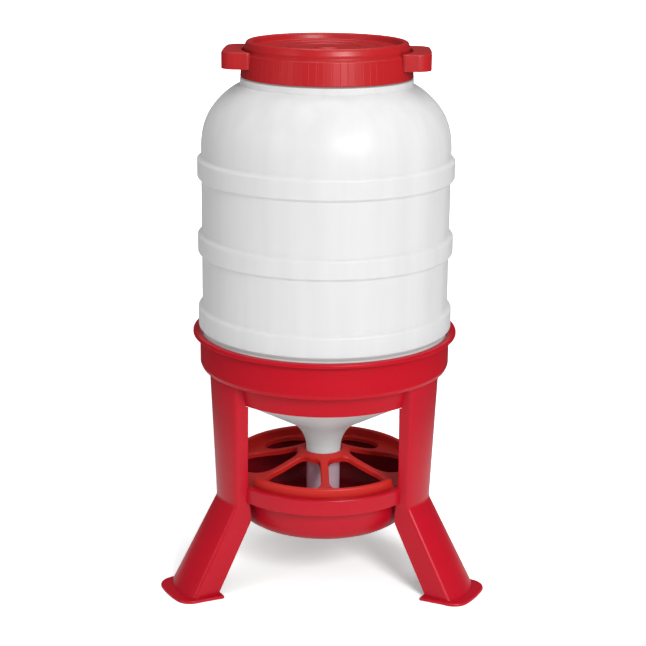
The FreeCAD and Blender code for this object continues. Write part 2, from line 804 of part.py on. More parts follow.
def cut_leg_gap(grill, angle, name):
    """Let the rim down over the width of a leg."""
    sketch = new_sketch(grill, name + "_plan", "XY_Plane", size.plate_edge + 0.5)
    half = float(size.leg_gap_half)
    cos, sin = math.cos(math.radians(angle)), math.sin(math.radians(angle))
    corners = [(LEG_GAP_INNER, -half), (LEG_GAP_OUTER, -half),
               (LEG_GAP_OUTER, half), (LEG_GAP_INNER, half)]
    outline(sketch, [(x * cos - y * sin, x * sin + y * cos) for x, y in corners])
    pocket(grill, sketch, name, 30.0, reverse=True)


def window_corner(angle, side, rim_radius, centre_radius, radius):
    """Rounding between the spoke at this angle and a rim. side is 1 when the
    window lies to the left of the spoke, looking outwards, and -1 to the right.
    Returns its ends on the spoke and on the rim, and its middle."""
    def place(x, y):
        return Vector(x * math.cos(angle) - side * y * math.sin(angle),
                      x * math.sin(angle) + side * y * math.cos(angle), 0)

    edge_y = float(size.spoke_half)
    centre_y = edge_y + radius
    centre_x = math.sqrt(centre_radius ** 2 - centre_y ** 2)
    centre = place(centre_x, centre_y)
    on_spoke = place(centre_x, edge_y)
    on_rim = centre * (rim_radius / centre.Length)
    towards = (on_spoke - centre).normalize() + (on_rim - centre).normalize()
    return on_spoke, on_rim, centre + towards.normalize() * radius


def draw_window(sketch):
    """One feeding window between two spokes, its four corners rounded."""
    inner, outer = float(size.window_inner), float(size.window_outer)
    round_in, round_out = float(size.window_fillet_in), float(size.window_fillet_out)

    def corner_pair(angle, side):
        return (window_corner(angle, side, inner, inner + round_in, round_in),
                window_corner(angle, side, outer, outer - round_out, round_out))

    a_in, a_out = corner_pair(0.0, 1)
    b_in, b_out = corner_pair(WINDOW_ANGLE, -1)
    middle = Vector(math.cos(WINDOW_ANGLE / 2), math.sin(WINDOW_ANGLE / 2), 0)
    # sides in order, starting with the edge of spoke a going outwards
    (spoke_a, corner_a_out, rim_out, corner_b_out,
     spoke_b, corner_b_in, rim_in, corner_a_in) = range(8)
    ends = add_sides(
        sketch,
        [a_in[0], a_out[0], a_out[1], b_out[1], b_out[0], b_in[0], b_in[1], a_in[1]],
        {corner_a_out: [a_out[2]], rim_out: [middle * outer], corner_b_out: [b_out[2]],
         corner_b_in: [b_in[2]], rim_in: [middle * inner], corner_a_in: [a_in[2]]})
    rule = Sketcher.Constraint
    constrain(sketch, joints("Tangent", ends) + [
        (rule("Coincident", rim_out, 3, -1, 1), None),
        (rule("Coincident", rim_in, 3, -1, 1), None),
        (rule("Radius", rim_out, outer), size.window_outer),
        (rule("Radius", rim_in, inner), size.window_inner),
        (rule("Radius", corner_a_out, round_out), size.window_fillet_out),
        (rule("Equal", corner_a_out, corner_b_out), None),
        (rule("Radius", corner_b_in, round_in), size.window_fillet_in),
        (rule("Equal", corner_b_in, corner_a_in), None),
        (rule("Horizontal", spoke_a), None),
        (rule("DistanceY", -1, 1, spoke_a, 1, float(size.spoke_half)), size.spoke_half),
    ])


def make_grill():
    """Domed plate with six windows round a hub, inside a raised hollow rim."""
    inner, outer, top = size.grill_inner, size.grill_radius, size.grill_high
    wall, edge, depth = size.grill_wall, size.plate_edge, size.grill_depth
    underside = [(radius - 0.6, height - float(depth))
                 for radius, height in reversed(DOME) if radius > 36.0]
    grill = revolved_body("feed_grill", "grill_profile", "grill_cap", [
        (size.hub_bore, size.hub_high - 9.0),
        (size.hub_bore, size.hub_high),
        DOME,
        (inner - 0.9, edge),
        (inner, edge + 0.9),
        # rim, over its top and down its outside
        (inner, top - 2.9),
        [(inner + 0.82, top - 0.85)],
        (inner + 2.8, top),
        (outer - 2.8, top),
        [(outer - 0.82, top - 0.85)],
        (outer, top - 2.9),
        (outer, size.grill_low),
        (outer - wall, size.grill_low),
        # hollow of the rim
        (outer - wall, top - 3.4),
        [((inner + outer) * 0.5, top - 2.2)],
        (inner + wall, top - 3.4),
        (inner + wall, edge - depth + 1.0),
        (inner + wall - 1.0, edge - depth),
        underside,
    ])
    for i, tag in enumerate("abc"):
        cut_leg_gap(grill, 90.0 + 120.0 * i - GRILL_TURN, "leg_gap_" + tag)
    sketch = new_sketch(grill, "window_plan", "XY_Plane", 120.0)
    draw_window(sketch)
    window = pocket(grill, sketch, "window", 90.0, reverse=True)
    polar(grill, [window], sketch, WINDOW_COUNT, "windows")
    turn(grill, GRILL_TURN)
    return grill


# -------------------------------------------------------------------- export
PARTS = [
    ("hopper_drum", make_drum()),
    ("flow_regulator", make_regulator()),
    ("lid", make_lid()),
    ("lid_seal", make_seal()),
    ("support_basket", make_basket()),
    ("leg_front_left", make_leg("leg_front_left", 210.0)),
    ("leg_front_right", make_leg("leg_front_right", 330.0)),
    ("leg_back", make_leg("leg_back", 90.0)),
    ("feed_pan", make_pan()),
    ("feed_grill", make_grill()),
]

doc.recompute()
bad = ["%s: %s" % (item.Label, item.State) for item in doc.Objects
       if "Invalid" in item.State or "Error" in item.State]
for name, part in PARTS:
    shape = part.Shape
    if shape.isNull() or not shape.isValid() or shape.Volume <= 0 or not shape.Solids:
        bad.append("%s: shape" % name)
if bad:
    raise RuntimeError("; ".join(bad))

os.makedirs("parts", exist_ok=True)
for name, part in PARTS:
    part.Shape.exportStep("parts/%s.step" % name)
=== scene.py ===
"""Hanging poultry feeder on three legs.

A white drum with a red screw lid narrows to a spout over a round feed pan. A
basket ring carries the drum on three channel legs, and a grill covers the pan.
The feeder's axis is Z and the floor is z = 0. The camera looks towards +Y, so
-Y is the front, +X the right, and one leg stands at the back. Shapes are given
in millimetres and built in metres; floor shader, lights and camera are in metres.
"""
import bpy
import bmesh
import math
import numpy as np
from mathutils import Matrix, Vector
from mathutils.geometry import delaunay_2d_cdt


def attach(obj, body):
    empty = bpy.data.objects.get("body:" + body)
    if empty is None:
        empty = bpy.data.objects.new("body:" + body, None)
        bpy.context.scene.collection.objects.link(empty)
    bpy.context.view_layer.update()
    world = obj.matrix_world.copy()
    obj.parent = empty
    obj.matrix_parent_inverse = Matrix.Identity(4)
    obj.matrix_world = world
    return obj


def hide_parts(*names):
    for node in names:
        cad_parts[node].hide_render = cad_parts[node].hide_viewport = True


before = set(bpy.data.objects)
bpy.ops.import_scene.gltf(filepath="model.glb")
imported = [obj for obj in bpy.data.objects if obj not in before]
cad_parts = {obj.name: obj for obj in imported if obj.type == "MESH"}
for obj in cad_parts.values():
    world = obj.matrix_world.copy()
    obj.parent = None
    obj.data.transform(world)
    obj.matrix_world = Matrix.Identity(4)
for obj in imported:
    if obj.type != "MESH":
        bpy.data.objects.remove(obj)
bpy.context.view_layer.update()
MM = 0.001
LEG_ANGLES = (210.0, 330.0, 90.0)       # front left, front right, back
scene = bpy.context.scene


# -------------------------------------------------------------- shader helpers
def srgb(red, green, blue):
    """Linear RGBA from 0-255 sRGB values."""
    def linear(value):
        value /= 255.0
        return value / 12.92 if value <= 0.04045 else ((value + 0.055) / 1.055) ** 2.4
    return (linear(red), linear(green), linear(blue), 1.0)


def grey(value):
    return (value, value, value, 1.0)


def set_inputs(node, inputs):
    """Link each input that is given a socket, and set the others to their value."""
    for key, value in inputs.items():
        if isinstance(value, bpy.types.NodeSocket):
            node.id_data.links.new(value, node.inputs[key])
        else:
            node.inputs[key].default_value = value


def add_node(tree, kind, inputs=None, **props):
    node = tree.nodes.new(kind)
    for key, value in props.items():
        setattr(node, key, value)
    set_inputs(node, inputs or {})
    return node


def add_mapping(tree, vector, scale):
    mapping = add_node(tree, "ShaderNodeMapping", {"Scale": scale, "Vector": vector})
    return mapping.outputs["Vector"]


def add_noise(tree, vector, scale, detail=2.0, roughness=0.5):
    inputs = {"Scale": scale, "Detail": detail, "Roughness": roughness}
    if vector:
        inputs["Vector"] = vector
    return add_node(tree, "ShaderNodeTexNoise", inputs).outputs["Fac"]


def add_ramp(tree, factor, *stops):
    """Colour ramp with two stops of (position, colour)."""
    ramp = add_node(tree, "ShaderNodeValToRGB", {"Fac": factor})
    for element, (position, colour) in zip(ramp.color_ramp.elements, stops):
        element.position = position
        element.color = colour
    return ramp.outputs["Color"]


def add_mix(tree, factor, first, second, blend="MIX"):
    mix = add_node(tree, "ShaderNodeMix", data_type="RGBA", blend_type=blend)
    set_inputs(mix, {"Factor": factor, "A": first, "B": second})
    return mix.outputs["Result"]


def add_range(tree, value, source=(0.0, 1.0), target=(0.0, 1.0), smooth=False):
    node = add_node(tree, "ShaderNodeMapRange", {
        "Value": value, "From Min": source[0], "From Max": source[1],
        "To Min": target[0], "To Max": target[1]},
        interpolation_type="SMOOTHSTEP" if smooth else "LINEAR")
    return node.outputs["Result"]


def add_bump(tree, height, strength, distance, normal=None):
    inputs = {"Height": height, "Strength": strength, "Distance": distance}
    if normal:
        inputs["Normal"] = normal
    return add_node(tree, "ShaderNodeBump", inputs).outputs["Normal"]


def new_material(name):
    material = bpy.data.materials.new(name)
    material.use_nodes = True
    tree = material.node_tree
    return material, tree, tree.nodes["Principled BSDF"]


# ------------------------------------------------------------------- materials
def moulded(name, colour, dark, rough, spec=0.5, flow=(3.0, 3.0, 26.0), scatter=0.0,
            edge_highlight_level=0.35, mute=None):
    """Moulded plastic: colour flow along the part, paler convex edges as a painted
    edge highlight, fine grain and a slow unevenness. Diffuse rays see the mute
    colour where one is given."""
    material, tree, shader = new_material(name)
    coords = add_node(tree, "ShaderNodeTexCoord").outputs["Object"]
    streaks = add_noise(tree, add_mapping(tree, coords, flow), scale=1.0, detail=5.0,
                        roughness=0.55)
    streaks = add_ramp(tree, streaks, (0.36, dark), (0.66, colour))
    base = add_mix(tree, factor=0.35, first=colour, second=streaks)
    # painted highlight: convex edges made paler, broken up by noise
    geometry = add_node(tree, "ShaderNodeNewGeometry")
    edges = add_range(tree, geometry.outputs["Pointiness"], source=(0.53, 0.62),
                      target=(0.0, edge_highlight_level))
    edge_breakup = add_noise(tree, coords, scale=60.0, detail=4.0)
    painted_edge_highlight = add_node(tree, "ShaderNodeMath", {0: edges, 1: edge_breakup}, operation="MULTIPLY")
    pale = tuple(min(1.0, c * 0.75 + 0.20) for c in colour[:3]) + (1.0,)
    base = add_mix(tree, painted_edge_highlight.outputs["Value"], base, pale)
    if mute:
        # white surfaces near the piece pick up little of its colour
        path = add_node(tree, "ShaderNodeLightPath")
        base = add_mix(tree, path.outputs["Is Diffuse Ray"], base, mute)
    patches = add_noise(tree, coords, scale=14.0, detail=6.0)
    roughness = add_range(tree, patches, target=(rough - 0.05, rough + 0.07))
    grain = add_noise(tree, coords, scale=900.0)
    normal = add_bump(tree, grain, strength=0.10, distance=0.0002)
    waves = add_noise(tree, coords, scale=9.0)
    normal = add_bump(tree, waves, strength=0.25, distance=0.0012, normal=normal)
    set_inputs(shader, {"Base Color": base, "Roughness": roughness,
                        "Specular IOR Level": spec, "Normal": normal})
    if scatter:
        set_inputs(shader, {"Subsurface Weight": scatter,
                            "Subsurface Radius": (1.0, 0.4, 0.3),
                            "Subsurface Scale": 0.004})
    return material


def drum_material():
    """White blow-moulded polyethylene: satin, letting some light into the wall,
    with faint upright streaks. Its emission is a painted glow for light through
    the wall, and a painted red bounce tints the spout's end."""
    material, tree, shader = new_material("drum_white")
    coords = add_node(tree, "ShaderNodeTexCoord").outputs["Object"]
    streaks = add_noise(tree, add_mapping(tree, coords, scale=(34.0, 34.0, 1.6)),
                        scale=1.0, detail=6.0)
    base = add_ramp(tree, streaks, (0.30, srgb(202, 202, 202)), (0.70, srgb(210, 210, 210)))
    # painted red bounce light: the spout's end, down in the red pan, gets a mauve tint in its
    # base colour
    split = add_node(tree, "ShaderNodeSeparateXYZ", {"Vector": coords})
    low = add_range(tree, split.outputs["Z"], source=(0.166, 0.190), target=(1.0, 0.0),
                    smooth=True)
    base = add_mix(tree, factor=low, first=base, second=(0.90, 0.74, 0.82, 1.0),
                   blend="MULTIPLY")
    # painted glow: emission standing in for light that has passed through the opposite wall,
    # red at the spout's end as painted bounce light from the pan
    glow = add_mix(tree, factor=low, first=grey(1.0), second=(0.42, 0.06, 0.12, 1.0))
    patches = add_noise(tree, coords, scale=18.0, detail=5.0)
    roughness = add_range(tree, patches, target=(0.36, 0.47))
    waves = add_noise(tree, None, scale=1.0, detail=3.0)
    set_inputs(waves.node, {"Vector": add_mapping(tree, coords, scale=(26.0, 26.0, 3.0))})
    normal = add_bump(tree, waves, strength=0.35, distance=0.0010)
    grain = add_noise(tree, coords, scale=700.0)
    normal = add_bump(tree, grain, strength=0.10, distance=0.0002, normal=normal)
    # painted glow: the emission set below is no lamp
    set_inputs(shader, {
        "Base Color": base, "Roughness": roughness, "Specular IOR Level": 0.5,
        "Subsurface Weight": 0.35, "Subsurface Radius": (1.0, 0.95, 0.9),
        "Subsurface Scale": 0.009, "Emission Color": glow, "Emission Strength": 0.12,
        "Normal": normal})
    return material


def sleeve_material():
    """Translucent plastic; its emission is a painted glow, and its lilac tint is
    painted red bounce light from the pan.
    """
    # painted red bounce light: the lilac tint of the sleeve's colours
    material = moulded("sleeve_natural", colour=srgb(212, 180, 208), dark=srgb(190, 156, 188),
                       rough=0.3, scatter=0.2, edge_highlight_level=0.0)
    # painted glow: a lilac emission standing in for red light bounced from the pan
    set_inputs(material.node_tree.nodes["Principled BSDF"],
               {"Emission Color": (0.78, 0.56, 0.76, 1.0), "Emission Strength": 0.12})
    return material


MUTE = (0.22, 0.15, 0.15, 1.0)
STAND = moulded("stand_red", colour=srgb(199, 4, 34), dark=srgb(182, 2, 27), rough=0.31,
                spec=0.40, mute=MUTE)
BASKET = moulded("basket_red", colour=srgb(197, 2, 30), dark=srgb(180, 1, 24), rough=0.34,
                 spec=0.26, mute=MUTE)
LID = moulded("lid_red", colour=srgb(188, 22, 28), dark=srgb(170, 14, 20), rough=0.36,
              flow=(22.0, 22.0, 4.0), mute=MUTE)
GRILL = moulded("grill_orange", colour=srgb(212, 38, 32), dark=srgb(196, 26, 22), rough=0.38,
                spec=0.42, mute=MUTE)
DRUM = drum_material()
SLEEVE = sleeve_material()
# painted shade: a darker red for the trough's inside, where shade falls under the drum
TROUGH_SHADE = moulded("trough_painted_shade", colour=srgb(132, 10, 26), dark=srgb(108, 7, 19), rough=0.5,
                 spec=0.3, edge_highlight_level=0.0, mute=(0.40, 0.03, 0.07, 1.0))
SEAL = moulded("seal_rubber", colour=srgb(44, 44, 46), dark=srgb(30, 30, 32), rough=0.6,
               spec=0.3, edge_highlight_level=0.1)


# ------------------------------------------------------------- lines and loops
def lerp(start, end, t):
    return start + (end - start) * t


def bend(start, middle, end, t):
    """Quadratic Bezier value."""
    return (1 - t) ** 2 * start + 2 * t * (1 - t) * middle + t * t * end


def wrap(angle):
    """The angle brought into -pi to pi."""
    return (angle + math.pi) % (2 * math.pi) - math.pi


def unit(vector):
    length = math.hypot(vector[0], vector[1])
    return (vector[0] / length, vector[1] / length)


def polar(radius, angle):
    return (radius * math.cos(angle), radius * math.sin(angle))


def rotate(x, y, angle):
    cos, sin = math.cos(angle), math.sin(angle)
    return (x * cos - y * sin, x * sin + y * cos)


def turned(verts, angle):
    """Points turned about Z."""
    return [rotate(x, y, angle) + (z,) for x, y, z in verts]


def arc_points(centre, radius, start, sweep, steps):
    points = []
    for i in range(steps + 1):
        angle = start + sweep * i / steps
        points.append((centre[0] + radius * math.cos(angle),
                       centre[1] + radius * math.sin(angle)))
    return points


def corner_arc(before, corner, after, share):
    """Fillet (centre, radius, start, sweep) of an (x, y, radius) corner, or None
    where it is too flat or sharp. It takes at most a share of the shorter side."""
    x, y, radius = corner
    back = (before[0] - x, before[1] - y)
    ahead = (after[0] - x, after[1] - y)
    shorter = min(math.hypot(*back), math.hypot(*ahead))
    if shorter < 1e-9:
        return None
    back, ahead = unit(back), unit(ahead)
    angle = math.acos(max(-1.0, min(1.0, back[0] * ahead[0] + back[1] * ahead[1])))
    if angle > math.pi - 0.02 or angle < 0.02:
        return None
    reach = radius / math.tan(angle / 2)
    if reach > share * shorter:
        reach = share * shorter
        radius = reach * math.tan(angle / 2)
    middle = unit((back[0] + ahead[0], back[1] + ahead[1]))
    depth = radius / math.sin(angle / 2)
    centre = (x + middle[0] * depth, y + middle[1] * depth)
    start, end = (math.atan2(y + way[1] * reach - centre[1], x + way[0] * reach - centre[0])
                  for way in (back, ahead))
    return centre, radius, start, wrap(end - start)


def rounded(points, closed=True, turn=10.0):
    """Line through (x, y) or (x, y, corner radius) points, its corners rounded
    in steps of at most turn degrees."""
    out = []
    count = len(points)
    for i, point in enumerate(points):
        fillet = None
        if len(point) > 2 and (closed or i not in (0, count - 1)):
            fillet = corner_arc(points[i - 1], point, points[(i + 1) % count], share=0.48)
        if fillet is None:
            out.append((point[0], point[1]))
        else:
            steps = max(2, int(math.ceil(abs(math.degrees(fillet[3])) / turn)))
            out += arc_points(*fillet, steps)
    return out


def split_edges(loop, longest):
    """Closed loop with points added on its longer edges."""
    out = []
    for i, start in enumerate(loop):
        end = loop[(i + 1) % len(loop)]
        out.append(start)
        extra = int(math.hypot(end[0] - start[0], end[1] - start[1]) // longest)
        for j in range(1, extra + 1):
            t = j / (extra + 1)
            out.append((lerp(start[0], end[0], t), lerp(start[1], end[1], t)))
    return out


def offset_loop(loop, inset):
    """Closed anticlockwise plan loop moved inwards."""
    out = []
    for i, point in enumerate(loop):
        before, after = loop[i - 1], loop[(i + 1) % len(loop)]
        along_in = unit((point[0] - before[0], point[1] - before[1]))
        along_out = unit((after[0] - point[0], after[1] - point[1]))
        normal = (-along_in[1] - along_out[1], along_in[0] + along_out[0])
        square = normal[0] * normal[0] + normal[1] * normal[1]
        scale = 2 * inset / square if square > 0.3 else inset
        out.append((point[0] + normal[0] * scale, point[1] + normal[1] * scale))
    return out


def inset_line(points, inset):
    """Open line moved to its left."""
    out = []
    last = len(points) - 1
    for i, point in enumerate(points):
        before, after = points[max(0, i - 1)], points[min(last, i + 1)]
        along = unit((after[0] - before[0], after[1] - before[1]))
        out.append((point[0] - inset * along[1], point[1] + inset * along[0]))
    return out


def inside_loop(point, loop):
    x, y = point
    inside = False
    x_last, y_last = loop[-1]
    for x_here, y_here in loop:
        if (y_here > y) != (y_last > y) and \
                x < (x_last - x_here) * (y - y_here) / (y_last - y_here) + x_here:
            inside = not inside
        x_last, y_last = x_here, y_here
    return inside


# ---------------------------------------------------------------------- meshes
def mesh_object(name, verts, faces, material, merge=None):
    """Smooth object from points in mm; points closer than merge are joined."""
    mesh = bpy.data.meshes.new(name)
    mesh.from_pydata([tuple(c * MM for c in vert) for vert in verts], [], faces)
    bm = bmesh.new()
    bm.from_mesh(mesh)
    if merge:
        bmesh.ops.remove_doubles(bm, verts=bm.verts, dist=merge * MM)
        bmesh.ops.dissolve_degenerate(bm, edges=bm.edges, dist=1e-7)
    bmesh.ops.recalc_face_normals(bm, faces=bm.faces)
    for face in bm.faces:
        face.smooth = True
    bm.to_mesh(mesh)
    bm.free()
    mesh.materials.append(material)
    ob = bpy.data.objects.new(name, mesh)
    scene.collection.objects.link(ob)
    return ob


def piece_object(name, verts, faces, material, merge=None):
    """mesh_object with its normals weighted by face area."""
    ob = mesh_object(name, verts, faces, material, merge)
    modifier = ob.modifiers.new("weighted_normals", "WEIGHTED_NORMAL")
    modifier.weight = 50
    modifier.keep_sharp = False
    return ob


def register(ob, rides, replaces):
    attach(ob, rides)
    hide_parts(replaces)


def joined(parts):
    """One (verts, faces) pair from several."""
    verts, faces = [], []
    for part_verts, part_faces in parts:
        start = len(verts)
        verts += part_verts
        faces += [tuple(start + i for i in face) for face in part_faces]
    return verts, faces


def band_faces(rows, count):
    """Quads between successive closed rows of count points."""
    faces = []
    for j in range(rows - 1):
        for i in range(count):
            after = (i + 1) % count
            faces.append((j * count + i, j * count + after,
                          (j + 1) * count + after, (j + 1) * count + i))
    return faces


def stack(loops):
    """Capped solid from plan loops [(loop, z)...]."""
    count, rows = len(loops[0][0]), len(loops)
    verts = [(x, y, z) for loop, z in loops for x, y in loop]
    faces = band_faces(rows, count)
    faces.append(tuple(reversed(range(count))))
    faces.append(tuple((rows - 1) * count + i for i in range(count)))
    return verts, faces


def edge_loops(plan, radius, centre_z, side, angles):
    """Loops round an upper (side 1) or lower (side -1) edge of a stack."""
    loops = []
    for angle in angles:
        cos, sin = math.cos(math.radians(angle)), math.sin(math.radians(angle))
        loops.append((offset_loop(plan, radius - radius * cos),
                      centre_z + side * radius * sin))
    return loops


def ring_angles(count, extra=()):
    """Even steps round a circle, packed closer about the extra angles."""
    angles = [2 * math.pi * i / count for i in range(count)]
    for centre in extra:
        angles = [angle for angle in angles if abs(wrap(angle - centre)) > 0.012]
        for step in (-0.0105, -0.0065, -0.0035, 0.0, 0.0035, 0.0065, 0.0105):
            angles.append((centre + step) % (2 * math.pi))
    return sorted(angles)


def lathe_data(profile, angles, shape=None):
    """Closed (radius, z) profile turned about Z. shape(i, radius, z, angle) may
    change the radius of profile point i."""
    count = len(profile)
    verts, faces = [], []
    for angle in angles:
        for i, (radius, z) in enumerate(profile):
            if shape:
                radius = shape(i, radius, z, angle)
            verts.append(polar(radius, angle) + (z,))
    for j in range(len(angles)):
        here, there = j * count, (j + 1) % len(angles) * count
        for i in range(count):
            after = (i + 1) % count
            if profile[i][0] < 1e-6 and profile[after][0] < 1e-6:
                continue
            faces.append((here + i, there + i, there + after, here + after))
    return verts, faces


def lathe(name, profile, material, segments, shape=None, extra=(), longest=None, more=()):
    if longest:
        profile = split_edges(profile, longest)
    body = lathe_data(profile, ring_angles(segments, extra), shape)
    return piece_object(name, *joined([body, *more]), material, merge=0.0005)


def ridge_data(root, crest, bottom, height):
    """Helical thread ridge with tapered ends; its outer or inner crest radius
    may lie either side of the root."""
    pitch, half_root, half_crest, step = 8.0, 1.7, 0.9, 3.0     # step in degrees
    turns = height / pitch
    steps = int(turns * 360 / step)
    section = [(root, -half_root), (crest - 0.35, -half_crest - 0.15),
               (crest, -half_crest + 0.3), (crest, half_crest - 0.3),
               (crest - 0.35, half_crest + 0.15), (root, half_root)]
    count = len(section)
    verts, faces = [], []
    for j in range(steps + 1):
        angle = 2 * math.pi * turns * j / steps
        z = bottom + height * j / steps
        fade = min(1.0, j * step / 18.0, (steps - j) * step / 18.0)
        fade = fade * fade * (3 - 2 * fade)
        for radius, rise in section:
            radius = root + (radius - root) * max(fade, 0.02)
            verts.append(polar(radius, angle) + (z + rise * max(fade, 0.25),))
    for j in range(steps):
        here, there = j * count, (j + 1) * count
        for i in range(count):
            after = (i + 1) % count
            faces.append((here + i, there + i, there + after, here + after))
    faces.append(tuple(range(count)))
    faces.append(tuple(steps * count + i for i in reversed(range(count))))
    return verts, faces


# ------------------------------------------------------------------------ drum
# Profiles of turned pieces are (radius, z) or (radius, z, corner radius).
FLARE_CENTRE = (81.5, 189.8)            # of the flare between spout and funnel
FLARE_START, FLARE_SWEEP = math.radians(180.0), math.radians(119.4 - 180.0)


def shoulder_line():
    """Superellipse from the drum's side up to its neck collar."""
    steps = 46
    neck, base_z = 127.0, 659.6
    width, height = 58.0, 95.62
    points = []
    for i in range(steps + 1):
        t = math.pi / 2 * i / steps
        points.append((neck + width * math.cos(t) ** (2 / 1.2377),
                       base_z + height * math.sin(t) ** (2 / 2.3756)))
    return points


def drum_outer_line():
    """Outside, from the spout's lower end up to the mouth."""
    flare = arc_points(FLARE_CENTRE, 55.0, FLARE_START, FLARE_SWEEP, 22)
    line = rounded(
        [(25.6, 114.0, 0.8), (25.6, 168.0, 20.0)] + flare + [
            (159.5, 295.5, 3.0), (166.6, 327.0, 3.0), (167.8, 332.5, 2.2),
            (172.2, 332.5, 5.0), (180.9, 340.6, 12.0), (184.4, 352.5, 10.0),
            (184.4, 387.2, 2.5),
            # three raised hoops
            (191.0, 394.0, 3.0), (191.0, 422.4, 2.6), (185.0, 426.4, 2.4),
            (185.0, 504.1, 2.4), (191.0, 508.0, 2.6), (191.0, 533.4, 2.6),
            (185.0, 537.3, 2.4), (185.0, 616.4, 2.4), (191.0, 620.2, 2.6),
            (191.0, 646.7, 2.6), (185.0, 650.6, 2.4)] + shoulder_line() + [
            (127.0, 760.0), (127.0, 764.6, 1.6), (116.6, 764.6, 1.2), (116.6, 799.0)],
        closed=False, turn=8.0)
    # the mouth's outer edge is bevelled
    return line[:-1] + [(116.6, 797.8), (115.4, 799.0)]


def drum_inner_line():
    """Inside, from the mouth down to the spout's lower end."""
    flare = arc_points(FLARE_CENTRE, 57.5, FLARE_START, FLARE_SWEEP, 20)
    return rounded(
        [(114.4, 799.0), (113.4, 797.6, 0.8), (113.4, 759.0, 3.0)]
        + inset_line(shoulder_line(), 3.0)[:-6][::-1] + [
            (182.4, 649.4, 2.0), (188.4, 645.5, 2.0), (188.4, 621.4, 2.0),
            (182.4, 617.6, 2.0), (182.4, 536.1, 2.0), (188.4, 532.2, 2.0),
            (188.4, 509.2, 2.0), (182.4, 505.3, 2.0), (182.4, 425.2, 2.0),
            (188.4, 421.2, 2.0), (188.4, 395.0, 2.0), (181.8, 388.2, 2.0),
            (181.8, 352.5, 9.0), (179.0, 342.8, 9.0), (171.6, 335.1, 3.0),
            (166.8, 335.1, 2.0), (164.0, 328.0, 2.0), (157.0, 297.2, 3.0)]
        + flare[::-1] + [(23.1, 168.0, 20.0), (23.1, 114.6)],
        closed=False, turn=8.0)


def build_drum():
    outer = drum_outer_line()
    profile = outer + drum_inner_line()[:-1] + [(23.1, 114.8), (23.9, 114.0)]
    # only this many of the split profile's first points may carry the seam
    seam_points = len(outer)

    def seam(i, radius, z, angle):
        """Faint parting line of the mould on the left and right."""
        if z > 764.0 or z < 300.0 or i >= seam_points:
            return radius
        away = min(abs(wrap(angle)), abs(angle - math.pi))
        return radius + 0.34 * math.exp(-((away * radius) / 0.75) ** 2)

    thread = ridge_data(root=115.8, crest=120.3, bottom=776.5, height=12.0)
    drum = lathe("drum_body", profile, DRUM, segments=264, shape=seam,
                 extra=(0.0, math.pi), longest=14.0, more=[thread])
    register(drum, "hopper", "hopper_drum")


# ------------------------------------------------------------- sleeve and seal
def build_sleeve():
    profile = rounded([
        (20.95, 102.0, 0.7), (25.4, 102.0, 0.8), (25.4, 104.4, 0.7), (22.95, 105.2, 0.6),
        (22.95, 158.0, 0.5), (21.55, 158.0, 0.4), (20.95, 155.0, 1.0)], turn=15.0)
    sleeve = lathe("regulator_sleeve", profile, SLEEVE, segments=120, longest=12.0)
    register(sleeve, "regulator", "flow_regulator")


def build_seal():
    profile = rounded([
        (111.6, 799.2, 0.8), (118.4, 799.2, 0.8), (118.4, 802.2, 0.8),
        (115.2, 803.6, 0.8), (111.6, 803.6, 0.8)], turn=20.0)
    seal = lathe("seal_ring", profile, SEAL, segments=200)
    register(seal, "seal", "lid_seal")


# ------------------------------------------------------------------------- lid
FLUTES = 72
FLUTE_PITCH = 2 * math.pi / FLUTES
# stations across a facet, as shares of its pitch, closest at the grooves
FLUTE_STATIONS = (0.0, 0.03, 0.065, 0.12, 0.3, 0.5, 0.7, 0.88, 0.935, 0.97)
SKIRT_BOTTOM, SKIRT_TOP = (126.7, 766.6), (124.3, 799.6)
# heights of added rows on the skirt, so the grooves keep their ends
SKIRT_ROWS = (768.2, 769.6, 774.0, 782.0, 790.0, 795.5, 797.6)
EAR_BOTTOM, EAR_TOP = 781.0, 805.4
LID_TURN = math.radians(-1.6)           # the lid sits a little turned in its thread
TOP_EDGE = (0, 18, 36, 54, 72, 90)      # degrees round an upper edge


def lid_outer_line():
    """Outside, from the skirt's lower edge up and in to the middle."""
    line = rounded([
        (*SKIRT_BOTTOM, 0.7), (*SKIRT_TOP, 1.0), (121.9, 801.2, 1.0), (120.4, 803.6, 2.2),
        (120.9, 808.5, 5.0), (117.9, 817.9, 5.2), (109.9, 818.0, 5.0), (107.2, 808.0, 3.4),
        # two low rings and a raised middle on the top plate
        (88.6, 808.0, 0.8), (87.0, 809.4, 0.9), (80.2, 809.4, 0.9), (78.6, 808.0, 0.8),
        (57.0, 808.0, 0.8), (55.4, 809.4, 0.9), (49.0, 809.4, 0.9), (47.4, 808.0, 0.8),
        (20.4, 808.0, 0.8), (18.6, 809.6, 1.0), (0.0, 809.6)], closed=False, turn=12.0)
    slope = (SKIRT_TOP[0] - SKIRT_BOTTOM[0]) / (SKIRT_TOP[1] - SKIRT_BOTTOM[1])
    rows = [(SKIRT_BOTTOM[0] + slope * (z - SKIRT_BOTTOM[1]), z) for z in SKIRT_ROWS]
    lowest = [point for point in line if point[1] < 767.9 and point[0] > 125.0]
    return lowest + rows + line[len(lowest):]


def lid_inner_line():
    """Underside, from the middle out and down the skirt."""
    return rounded([
        (0.0, 806.9), (17.4, 806.9, 0.8), (19.2, 805.3, 0.8), (106.4, 805.3, 2.0),
        (110.8, 809.4, 2.0), (112.0, 814.6, 1.6), (116.6, 814.4, 1.6), (118.4, 804.6, 1.5),
        (121.2, 799.2, 1.5), (123.9, 767.4, 0.6), (124.4, 766.6, 0.4)],
        closed=False, turn=20.0)


